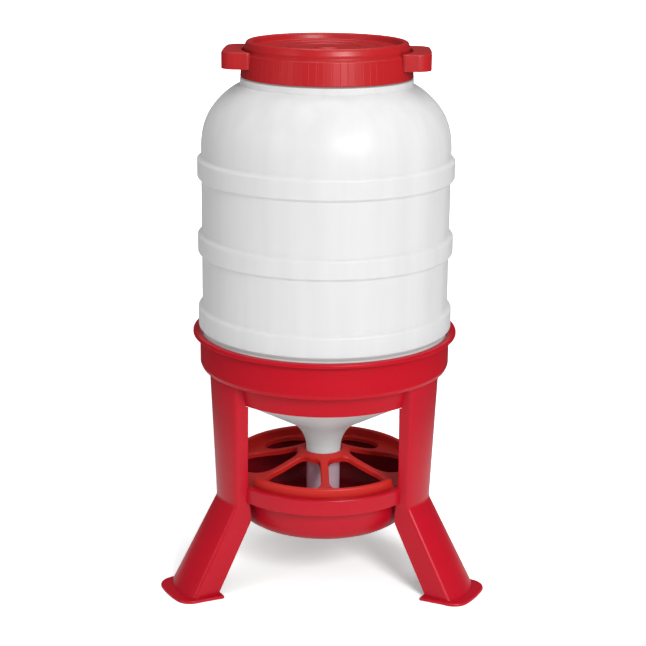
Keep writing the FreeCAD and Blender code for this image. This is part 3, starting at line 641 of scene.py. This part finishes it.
def ear_data(side):
    """Flat grip at the lid's right (side 1) or left (side -1)."""
    reach, half, seat, corner = 151.4, 62.0, 124.4, 36.0
    root_x = math.sqrt(seat * seat - half * half)
    root_angle = math.atan2(half, root_x)
    outline = rounded([
        (root_x, -half), (reach - 1.0, -half, corner), (reach + 0.6, 0.0, 160.0),
        (reach - 1.0, half, corner), (root_x, half)], closed=False, turn=5.0)
    seat_arc = arc_points((0.0, 0.0), seat, root_angle, -2 * root_angle, 24)[1:-1]
    plan = split_edges(outline + seat_arc, 6.0)
    plan = [(side * x, side * y) for x, y in plan]
    lower, upper = 1.0, 1.9             # edge radii
    # up to the top plate's underside inside, then from the lower edge over the top
    inner = [(offset_loop(plan, inset), z) for inset, z in
             ((2.5, 803.0), (2.5, 790.0), (2.5, 782.0), (2.0, 781.1))]
    return stack(
        inner
        + edge_loops(plan, lower, EAR_BOTTOM + lower, side=-1, angles=(90, 60, 30, 0))
        + [(plan, 788.0), (plan, 797.0)]
        + edge_loops(plan, upper, EAR_TOP - upper, side=1, angles=TOP_EDGE)
        + [(offset_loop(plan, inset), EAR_TOP) for inset in (2.6, 3.6)])


def build_lid():
    outer = lid_outer_line()

    def fluted(i, radius, z, angle):
        """Upright facets parted by fine grooves on the skirt."""
        if i >= len(outer) or radius < 123.9 or z > 799.5:
            return radius
        t = (angle % FLUTE_PITCH) / FLUTE_PITCH
        facet = math.cos(FLUTE_PITCH / 2) / math.cos((t - 0.5) * FLUTE_PITCH)
        from_groove = min(t, 1 - t) * FLUTE_PITCH * radius
        fade = max(0.0, min(1.0, (z - 767.0) / 2.2, (799.4 - z) / 1.6))
        return radius * facet - 0.32 * math.exp(-(from_groove / 0.42) ** 2) * fade

    angles = [(k + t) / FLUTES * 2 * math.pi for k in range(FLUTES) for t in FLUTE_STATIONS]
    verts, faces = joined([
        lathe_data(outer + lid_inner_line(), angles, fluted), ear_data(1), ear_data(-1),
        ridge_data(root=122.7, crest=118.1, bottom=772.5, height=10.0)])
    lid = piece_object("lid_cap", turned(verts, LID_TURN), faces, LID, merge=0.0005)
    register(lid, "lid", "lid")


# ---------------------------------------------------------------------- basket
def build_basket():
    profile = rounded([
        (160.4, 295.6, 0.9), (162.9, 295.6, 0.9), (170.5, 329.0, 0.6), (186.2, 329.0, 3.6),
        (189.2, 336.0, 6.0), (189.2, 380.4, 3.0), (192.2, 383.6, 2.4), (196.9, 383.6, 0.8),
        (196.9, 380.8, 0.9), (199.6, 380.8, 0.9), (199.6, 386.4, 2.4), (189.0, 386.4, 3.2),
        (186.4, 382.8, 3.0), (186.4, 337.0, 4.0), (182.0, 332.0, 4.0), (168.4, 332.0, 1.0),
        (167.9, 330.0, 0.8)], turn=10.0)
    basket = lathe("basket_ring", profile, BASKET, segments=264, longest=16.0)
    register(basket, "stand", "support_basket")


# ------------------------------------------------------------------------ legs
# A leg is built along +X and then turned to its place.
LEG_TOP_Z, KNEE_Z = 328.7, 135.0
# outer face: half width, x at its edges, x at its crown
LEG_TOP = (44.1, 174.0, 181.2)
LEG_KNEE = (35.3, 168.6, 175.4)
LEG_FOOT = (41.3, 244.8, 256.0)
# inner edge of the side walls: z, x
TRIM = [(0.0, 205.0), (4.4, 202.5), (108.5, 145.2), (118.0, 144.9), (145.0, 147.0),
        (184.0, 151.0), (293.4, 152.4), (297.0, 155.0), (328.7, 155.0)]
TRIM_Z, TRIM_X = zip(*TRIM)
# heights of the sections
LEG_LEVELS = sorted({
    328.7, 328.2, 327.2, 325.0, 320.0, 312.0, 304.0, 297.5, 294.0, 293.0, 290.0,
    *np.linspace(284.0, 146.0, 24),
    141.5, 139.5, 138.0, 136.8, 135.6, 134.4, 133.2, 132.0, 130.5, 128.0,
    124.5, 122.0, 120.0, 118.2, 116.4, 114.6, 112.6, 110.0, 106.0,
    *np.linspace(100.0, 8.0, 18), 5.0, 3.2, 1.0}, reverse=True)


def straight_face(z):
    """Outer face at a height, with a crease at the knee."""
    if z >= KNEE_Z:
        upper, lower, t = LEG_TOP, LEG_KNEE, (LEG_TOP_Z - z) / (LEG_TOP_Z - KNEE_Z)
    else:
        upper, lower, t = LEG_KNEE, LEG_FOOT, (KNEE_Z - z) / KNEE_Z
    return tuple(lerp(start, end, t) for start, end in zip(upper, lower))


def outer_face(z):
    """Outer face at a height, the knee's crease rounded."""
    reach = 3.6
    if abs(z - KNEE_Z) >= reach:
        return straight_face(z)
    t = (KNEE_Z + reach - z) / (2 * reach)
    return tuple(bend(*values, t) for values in
                 zip(straight_face(KNEE_Z + reach), LEG_KNEE, straight_face(KNEE_Z - reach)))


def trim_at(z):
    """Inner edge of the side walls, its bend under the pan rounded."""
    middle, reach = 110.0, 6.0
    low, high = middle - reach, middle + reach
    if low < z < high:
        return float(bend(np.interp(low, TRIM_Z, TRIM_X), 144.4,
                          np.interp(high, TRIM_Z, TRIM_X), (z - low) / (2 * reach)))
    return float(np.interp(z, TRIM_Z, TRIM_X))


def crown_points(half, edge, crown, margin):
    """Nine points on the shallow arc through (edge, +-half) and (crown, 0),
    ending a margin short of its edges."""
    rise = crown - edge
    radius = (half * half + rise * rise) / (2 * rise)
    span = math.asin(half / radius) - margin / radius
    return [(crown - radius + radius * math.cos(t * span), radius * math.sin(t * span))
            for t in (-1 + 2 * i / 8 for i in range(9))]


def leg_section(z):
    """Channel section: its outer line, then its inner line back."""
    half, edge, crown = outer_face(z)
    trim = trim_at(z)
    if z >= 294.0:
        # the walls end just inside the basket's cone
        cone = float(np.interp(z, (295.6, 329.0), (162.9, 170.5))) - 1.2
        trim = max(trim, math.sqrt(cone * cone - half * half))
    face_wall = lerp(3.0, 3.5, min(1.0, max(0.0, (140.0 - z) / 10.0)))
    half_in = half - 3.0
    edge_in, crown_in = edge - face_wall + 0.4, crown - face_wall
    points = (
        [(trim, -half, 1.2), (edge, -half, 8.0)]
        + crown_points(half, edge, crown, margin=10.6)
        + [(edge, half, 8.0), (trim, half, 1.2), (trim, half_in, 1.2),
           (edge_in, half_in, 5.2)]
        + crown_points(half_in, edge_in, crown_in, margin=8.0)[::-1]
        + [(edge_in, -half_in, 5.2), (trim, -half_in, 1.2)])
    # every corner gets the same count of points, so the sections match
    out = []
    for i, point in enumerate(points):
        if len(point) == 2:
            out.append(point)
        else:
            after = points[(i + 1) % len(points)]
            out += arc_points(*corner_arc(points[i - 1], point, after, share=0.80), 5)
    return out


def channel_data():
    sections = [leg_section(z) for z in LEG_LEVELS]
    count, rows = len(sections[0]), len(sections)
    verts = [(x, y, z) for z, section in zip(LEG_LEVELS, sections) for x, y in section]
    faces = band_faces(rows, count)
    # end caps between the outer and the inner line
    for start in (0, (rows - 1) * count):
        for i in range(count // 2 - 1):
            faces.append((start + i, start + i + 1,
                          start + count - 2 - i, start + count - 1 - i))
    return verts, faces


def sole_data():
    """Foot plate with a rounded, slightly crowned outer end."""
    half = [(199.0, -50.5), (199.75, -52.25), (201.5, -52.8)]
    half += arc_points((241.2, -22.8), 26.0, math.radians(-96.0), math.radians(86.0), 10)
    half += [(268.8 - y * y / 370.0, y) for y in (-20.0, -12.0, -4.0)]
    plan = split_edges(half + [(x, -y) for x, y in reversed(half)], 6.0)
    lower, upper, top = 0.6, 1.9, 4.4
    return stack(edge_loops(plan, lower, lower, side=-1, angles=(90, 45, 0))
                 + edge_loops(plan, upper, top - upper, side=1, angles=TOP_EDGE)
                 + [(offset_loop(plan, 3.2), 4.45)])


def hook_data(side):
    """Snap hook that stands up through the basket."""
    section = [(176.0, 322.7), (178.2, 322.7), (178.2, 335.0), (176.2, 334.4),
               (174.2, 333.2), (174.2, 332.3), (176.0, 332.3)]       # x, z
    count = len(section)
    verts = [(x, side * y, z) for y in (16.5, 27.5) for x, z in section]
    faces = band_faces(2, count)
    faces.append(tuple(range(count)))
    faces.append(tuple(count + i for i in reversed(range(count))))
    return verts, faces


def build_legs():
    names = (("leg_channel_left", "leg_front_left"), ("leg_channel_right", "leg_front_right"),
             ("leg_channel_back", "leg_back"))
    verts, faces = joined([channel_data(), sole_data(), hook_data(1), hook_data(-1)])
    for (name, replaces), angle in zip(names, LEG_ANGLES):
        leg = piece_object(name, turned(verts, math.radians(angle)), faces, STAND)
        register(leg, "stand", replaces)


# ------------------------------------------------------------------------- pan
def build_pan():
    profile = rounded([
        (0.0, 86.4), (112.0, 86.4), (116.0, 86.6), (122.6, 88.3), (129.4, 92.8),
        (134.2, 99.2), (137.4, 107.6), (141.1, 146.4, 3.0), (148.2, 148.4, 2.0),
        (148.2, 161.8, 1.4), (154.7, 161.8, 1.4), (154.7, 139.5, 0.9), (157.2, 139.5, 0.9),
        (157.2, 164.2, 2.3), (145.6, 164.2, 1.5), (145.6, 150.0, 0.8), (138.5, 150.0, 0.8),
        (134.6, 109.0), (131.4, 101.4), (126.2, 95.0), (121.0, 91.0), (114.6, 89.4),
        (21.0, 89.4, 3.0), (16.6, 90.6, 3.0), (4.8, 102.4, 2.0), (0.0, 103.5)], turn=9.0)
    pan = lathe("pan_bowl", profile, STAND, segments=264, longest=14.0)
    # painted shade on the trough's inside: faces below its rim (in m) that look in or up get
    # a darker red
    pan.data.materials.append(TROUGH_SHADE)
    for face in pan.data.polygons:
        centre, normal = face.center, face.normal
        if not (normal.z > -0.2 and 0.088 < centre.z < 0.1502
                and math.hypot(centre.x, centre.y) < 0.1388):
            continue
        if centre.x * normal.x + centre.y * normal.y < 0.0 or normal.z > 0.7:
            face.material_index = 1
    register(pan, "stand", "feed_pan")


# ----------------------------------------------------------------------- grill
# The plate's upper face: radius, z
DOME = [(28.6, 190.5), (36.0, 188.3), (42.0, 186.0), (50.0, 182.7), (60.0, 178.9),
        (72.0, 174.5), (85.0, 170.4), (98.0, 167.2), (110.0, 165.0), (120.0, 164.1),
        (128.0, 163.7), (136.0, 163.4)]
BORE_RADIUS = DOME[0][0]
PLATE_RADIUS, PLATE_DEPTH = 135.2, 8.0
EDGE_RADIUS = 2.3                       # of the rounded edges of windows and bore
# distances of the mesh lines that follow a window or the bore
EDGE_LINES = (0.0, 0.18, 0.5, 0.95, 1.55, 2.3, 3.4)
FREE = 99.0                             # distance given to points away from an edge
LIP_RADIUS, GAP_HALF = 141.0, 34.2      # the lip's middle and its gaps for the legs


def monotone_cubic(points):
    """Monotone cubic through (x, y) points, as a vectorised function."""
    xs, ys = np.array(points).T
    widths = np.diff(xs)
    slopes = np.diff(ys) / widths
    tangents = np.zeros(len(xs))
    tangents[0], tangents[-1] = slopes[0], slopes[-1]
    for i in range(1, len(xs) - 1):
        if slopes[i - 1] * slopes[i] > 0:
            before = 2 * widths[i] + widths[i - 1]
            after = widths[i] + 2 * widths[i - 1]
            tangents[i] = (before + after) / (before / slopes[i - 1] + after / slopes[i])

    def curve(x):
        x = np.clip(np.asarray(x, float), xs[0], xs[-1])
        i = np.clip(np.searchsorted(xs, x) - 1, 0, len(xs) - 2)
        t = (x - xs[i]) / widths[i]
        return ((2 * t ** 3 - 3 * t ** 2 + 1) * ys[i]
                + (t ** 3 - 2 * t ** 2 + t) * widths[i] * tangents[i]
                + (-2 * t ** 3 + 3 * t ** 2) * ys[i + 1]
                + (t ** 3 - t ** 2) * widths[i] * tangents[i + 1])
    return curve


dome = monotone_cubic(DOME)


def window_loop(number):
    """Window between two of the six spokes, anticlockwise."""
    inner, outer = 41.5, 131.0          # radii
    half_spoke = 6.2
    fillet_in, fillet_out = 14.0, 34.0
    first = math.radians(60.0 * number + 32.0)
    second = first + math.radians(60.0)

    def corner(spoke, side, fillet, centre_radius, edge_radius):
        """Fillet's centre, its touching points on spoke and arc, its radius."""
        across = half_spoke + fillet
        along = math.sqrt(centre_radius * centre_radius - across * across)
        centre = rotate(along, side * across, spoke)
        on_spoke = rotate(along, side * half_spoke, spoke)
        scale = edge_radius / math.hypot(*centre)
        return centre, on_spoke, (centre[0] * scale, centre[1] * scale), fillet

    def arc(centre, start, end, radius, steps):
        begin = math.atan2(start[1] - centre[1], start[0] - centre[0])
        finish = math.atan2(end[1] - centre[1], end[0] - centre[0])
        return arc_points(centre, radius, begin, wrap(finish - begin), steps)

    inside = (fillet_in, inner + fillet_in, inner)
    outside = (fillet_out, outer - fillet_out, outer)
    centre_1, spoke_1, arc_1, _ = corner(first, 1, *inside)
    centre_2, spoke_2, arc_2, _ = corner(first, 1, *outside)
    centre_3, spoke_3, arc_3, _ = corner(second, -1, *outside)
    centre_4, spoke_4, arc_4, _ = corner(second, -1, *inside)
    return split_edges(
        arc(centre_1, arc_1, spoke_1, fillet_in, 12)
        + arc(centre_2, spoke_2, arc_2, fillet_out, 22)
        + arc((0, 0), arc_2, arc_3, outer, 26)[1:-1]
        + arc(centre_3, arc_3, spoke_3, fillet_out, 22)
        + arc(centre_4, spoke_4, arc_4, fillet_in, 12)
        + arc((0, 0), arc_4, arc_1, inner, 5)[1:-1], 3.0)


def rim_angles():
    """Even steps round the rim, with more at the flanks of the lip's gaps."""
    angles = [2 * math.pi * i / 360 for i in range(360)]
    flank = math.asin(GAP_HALF / LIP_RADIUS)
    for leg in LEG_ANGLES:
        for side in (-flank, flank):
            for step in (-0.006, -0.002, 0.002, 0.006):
                angles.append((math.radians(leg) + side + step) % (2 * math.pi))
    angles.sort()
    return [angle for i, angle in enumerate(angles)
            if i == 0 or angle - angles[i - 1] > 0.0008]


def plate_plan(angles):
    """Triangulated plan of the plate: points, their distances from a free edge,
    triangles, the loops of the free edges and the rim's loop."""
    points, distances, edges = [], [], []
    windows = [window_loop(k) for k in range(6)]
    last_lines = [offset_loop(window, -EDGE_LINES[-1]) for window in windows]

    def add_loop(loop, distance):
        start, count = len(points), len(loop)
        points.extend(loop)
        distances.extend([distance] * count)
        edges.extend([(start + i, start + (i + 1) % count) for i in range(count)])
        return list(range(start, start + count))

    free_loops = []
    for window in windows:
        lines = [add_loop(offset_loop(window, -line), line) for line in EDGE_LINES]
        free_loops.append(lines[0])
    bore = [polar(BORE_RADIUS, 2 * math.pi * i / 120) for i in range(120)]
    lines = []
    for line in EDGE_LINES:
        scale = (BORE_RADIUS + line) / BORE_RADIUS
        lines.append(add_loop([(x * scale, y * scale) for x, y in bore], line))
    free_loops.append(lines[0])
    rim_loop = add_loop([polar(PLATE_RADIUS, angle) for angle in angles], FREE)

    # loose points on the spokes and the outer ring, clear of the windows' lines;
    # the first radius would fall on the bore's lines
    taken = np.array([point for line in last_lines for point in line])
    for radius in np.arange(33.0, 133.5, 2.6)[1:]:
        count = max(12, int(2 * math.pi * radius / 3.0))
        for i in range(count):
            point = polar(radius, 2 * math.pi * (i + 0.5 * (int(radius) % 2)) / count)
            if np.hypot(taken[:, 0] - point[0], taken[:, 1] - point[1]).min() < 1.3:
                continue
            if any(inside_loop(point, line) for line in last_lines):
                continue
            points.append(point)
            distances.append(FREE)

    plan, _, triangles, sources, _, _ = delaunay_2d_cdt(
        [Vector(point) for point in points], edges, [], 0, 1e-6)
    kept = []
    for triangle in triangles:
        x = sum(plan[i].x for i in triangle) / len(triangle)
        y = sum(plan[i].y for i in triangle) / len(triangle)
        if not BORE_RADIUS - 0.05 <= math.hypot(x, y) <= PLATE_RADIUS + 0.05:
            continue
        if not any(inside_loop((x, y), window) for window in windows):
            kept.append(tuple(triangle))

    # from the given points to those of the triangulation
    edge_distance = np.full(len(plan), FREE)
    placed = {}
    for i, given in enumerate(sources):
        for source in given:
            edge_distance[i] = min(edge_distance[i], distances[source])
            placed[source] = i
    free_loops = [[placed[i] for i in loop] for loop in free_loops]
    rim_loop = [placed[i] for i in rim_loop]
    return np.array([(p.x, p.y) for p in plan]), edge_distance, kept, free_loops, rim_loop


def gap_share(angle):
    """1 inside a leg's gap in the lip, 0 outside, with steep flanks."""
    best = 0.0
    for leg in LEG_ANGLES:
        away = wrap(angle - math.radians(leg))
        if abs(away) < 1.0:
            across = abs(LIP_RADIUS * math.sin(away))
            best = max(best, min(1.0, max(0.0, (GAP_HALF + 0.3 - across) / 0.5)))
    return best


def grill_mesh():
    angles = rim_angles()
    plan, distance, triangles, free_loops, rim_loop = plate_plan(angles)
    count = len(plan)
    radii = np.hypot(plan[:, 0], plan[:, 1])
    drop = np.where(
        distance < EDGE_RADIUS,
        EDGE_RADIUS - np.sqrt(np.maximum(
            0.0, EDGE_RADIUS ** 2 - (EDGE_RADIUS - distance) ** 2)), 0.0)
    top = dome(radii) - drop
    bottom = dome(radii + 0.6) - PLATE_DEPTH
    verts = [(x, y, z) for heights in (top, bottom) for (x, y), z in zip(plan, heights)]
    faces = triangles + [tuple(count + i for i in reversed(face)) for face in triangles]
    for loop in free_loops:
        for i, here in enumerate(loop):
            after = loop[(i + 1) % len(loop)]
            faces.append((here, after, count + after, count + here))

    # raised rim, a hollow lip; its ends are the plate's own edge points
    lip = rounded([
        (PLATE_RADIUS, dome(PLATE_RADIUS).item()), (136.7, 163.5, 1.1), (136.7, 176.8, 2.9),
        (144.2, 176.8, 2.9), (144.2, 150.4, 0.7), (141.8, 150.4, 0.7), (141.8, 174.3, 1.3),
        (139.1, 174.3, 1.3), (139.1, 155.9, 1.0), (137.9, 155.3, 0.6),
        (PLATE_RADIUS, dome(PLATE_RADIUS + 0.6).item() - PLATE_DEPTH)],
        closed=False, turn=12.0)[1:-1]
    base, row = len(verts), len(lip)
    for angle in angles:
        share = gap_share(angle)
        for radius, z in lip:
            # in the gaps the lip is pressed down nearly to the plate's level
            low = z if z <= 163.3 else 163.3 + (z - 163.3) * 0.045
            verts.append(polar(radius, angle) + (z + (low - z) * share,))
    for i, here in enumerate(rim_loop):
        i_after = (i + 1) % len(rim_loop)
        after = rim_loop[i_after]
        lip_here, lip_after = base + i * row, base + i_after * row
        faces.append((here, after, lip_after, lip_here))
        for j in range(row - 1):
            faces.append((lip_here + j, lip_after + j, lip_after + j + 1, lip_here + j + 1))
        faces.append((lip_here + row - 1, lip_after + row - 1, count + after, count + here))

    # leave out the points no face uses
    used = sorted(set(i for face in faces for i in face))
    renumbered = {old: new for new, old in enumerate(used)}
    return [verts[i] for i in used], [tuple(renumbered[i] for i in face) for face in faces]


def build_grill():
    grill = piece_object("grill_grid", *grill_mesh(), GRILL)
    register(grill, "grill", "feed_grill")


# ----------------------------------------------------------------------- floor
FLOOR_GLOW = 0.13                       # emission seen by the camera near the feeder
SWEEP_GLOW = 1.3                        # and far off, where the floor turns white
FLOOR_BOUNCE = 0.85                     # floor tone that lights the feeder


def floor_mesh():
    """Flat disc of rings about the origin."""
    rings = [150.0, 300.0, 600.0, 1200.0, 2400.0, 5000.0, 9000.0, 14000.0]
    segments = 64
    verts = [(0.0, 0.0, 0.0)]
    for radius in rings:
        verts += [polar(radius, 2 * math.pi * i / segments) + (0.0,)
                  for i in range(segments)]
    faces = [(0, 1 + i, 1 + (i + 1) % segments) for i in range(segments)]
    for j in range(len(rings) - 1):
        for i in range(segments):
            here, after = 1 + j * segments + i, 1 + j * segments + (i + 1) % segments
            faces.append((here, here + segments, after + segments, after))
    return verts, faces


def floor_material():
    """The camera sees a glowing sheet; other rays see a plain diffuse one."""
    material, tree, shader = new_material("studio_floor")
    output = tree.nodes["Material Output"]
    tree.nodes.remove(shader)
    coords = add_node(tree, "ShaderNodeTexCoord").outputs["Object"]
    tone = add_ramp(tree, add_noise(tree, coords, scale=3.0),
                    (0.0, grey(0.80)), (1.0, grey(0.82)))
    # two equal diffuse layers add up
    diffuse = add_node(tree, "ShaderNodeBsdfDiffuse", {"Color": tone})
    glow = add_node(tree, "ShaderNodeEmission", {"Strength": FLOOR_GLOW})
    second = add_node(tree, "ShaderNodeBsdfDiffuse", {"Color": tone})
    pair = add_node(tree, "ShaderNodeAddShader",
                    {0: diffuse.outputs["BSDF"], 1: second.outputs["BSDF"]})
    seen = add_node(tree, "ShaderNodeAddShader",
                    {0: pair.outputs["Shader"], 1: glow.outputs["Emission"]})
    length = add_node(tree, "ShaderNodeVectorMath", {0: coords}, operation="LENGTH")
    far = length.outputs["Value"]
    # the sheet runs into a white sweep further off
    sweep = add_range(tree, far, source=(1.1, 3.6), target=(FLOOR_GLOW, SWEEP_GLOW),
                      smooth=True)
    set_inputs(glow, {"Strength": sweep})
    # reflections see the floor darken with distance
    darkening = add_range(tree, far, source=(0.45, 0.95), target=(0.0, 0.92), smooth=True)
    path = add_node(tree, "ShaderNodeLightPath")
    dark = add_node(tree, "ShaderNodeMath", {0: darkening, 1: path.outputs["Is Glossy Ray"]},
                    operation="MULTIPLY")
    bounce = add_mix(tree, factor=dark.outputs["Value"], first=grey(FLOOR_BOUNCE),
                     second=grey(0.02))
    unseen = add_node(tree, "ShaderNodeBsdfDiffuse", {"Color": bounce})
    mix = add_node(tree, "ShaderNodeMixShader", {
        "Fac": path.outputs["Is Camera Ray"], 1: unseen.outputs["BSDF"],
        2: seen.outputs["Shader"]})
    set_inputs(output, {"Surface": mix.outputs["Shader"]})
    return material


def build_floor():
    floor = mesh_object("floor", *floor_mesh(), floor_material())
    for face in floor.data.polygons:
        if face.normal.z < 0:
            face.flip()


# ------------------------------------------------------------ world and lights
def build_world():
    """White to the camera, grey and brighter upwards to other rays."""
    world = bpy.data.worlds.new("studio")
    scene.world = world
    world.use_nodes = True
    tree = world.node_tree
    path = add_node(tree, "ShaderNodeLightPath")
    colour = add_mix(tree, factor=path.outputs["Is Camera Ray"], first=grey(0.0),
                     second=grey(1.0))
    coords = add_node(tree, "ShaderNodeTexCoord").outputs["Generated"]
    split = add_node(tree, "ShaderNodeSeparateXYZ", {"Vector": coords})
    level = add_range(tree, split.outputs["Z"], source=(-0.2, 1.0), target=(0.30, 0.52))
    combined = add_node(tree, "ShaderNodeCombineColor",
                        {"Red": level, "Green": level, "Blue": level})
    set_inputs(colour.node, {"A": combined.outputs["Color"]})
    # the studio's far walls are dim in reflections
    strength = add_range(tree, path.outputs["Is Glossy Ray"], target=(1.0, 0.18))
    set_inputs(tree.nodes["Background"], {"Color": colour, "Strength": strength})


def add_area(name, place, target, width, height, power):
    light = bpy.data.lights.new(name, "AREA")
    light.energy = power
    light.shape = "RECTANGLE"
    light.size = width
    light.size_y = height
    ob = bpy.data.objects.new(name, light)
    ob.location = place
    ob.rotation_mode = "QUATERNION"
    ob.rotation_quaternion = (Vector(target) - Vector(place)).to_track_quat("-Z", "Y")
    scene.collection.objects.link(ob)


def build_lights():
    add_area("key", place=(1.18, -2.82, 1.90), target=(0, 0, 0.5), width=0.9, height=1.3,
             power=71.0)
    add_area("fill", place=(-2.4, -1.9, 1.5), target=(0, 0, 0.45), width=0.8, height=1.2,
             power=7.0)
    add_area("top", place=(0.1, 0.3, 2.6), target=(0, 0, 0.4), width=1.4, height=1.4,
             power=14.0)


# ---------------------------------------------------------------------- camera
def build_camera():
    pitch, roll = 0.2800011, 0.0098     # radians; the pitch is downwards
    forward = Vector((0.0, math.cos(pitch), -math.sin(pitch)))
    level_right = Vector((1.0, 0.0, 0.0))
    level_up = level_right.cross(forward)
    right = math.cos(roll) * level_right + math.sin(roll) * level_up
    up = -math.sin(roll) * level_right + math.cos(roll) * level_up
    pose = Matrix((right, up, -forward)).transposed().to_4x4()
    pose.translation = (0.0, -2.32916, 1.06088)
    lens = bpy.data.cameras.new("camera")
    lens.sensor_fit = "HORIZONTAL"
    lens.sensor_width = 36.0
    lens.lens = 88.5659071
    lens.shift_x = -0.0024767802
    lens.clip_start = 0.05
    lens.clip_end = 60.0
    camera = bpy.data.objects.new("camera", lens)
    camera.matrix_world = pose
    scene.collection.objects.link(camera)
    scene.camera = camera


build_drum()
build_sleeve()
build_seal()
build_lid()
build_basket()
build_legs()
build_pan()
build_grill()
build_floor()
build_world()
build_lights()
build_camera()
scene.view_settings.view_transform = "Standard"
scene.view_settings.look = "None"
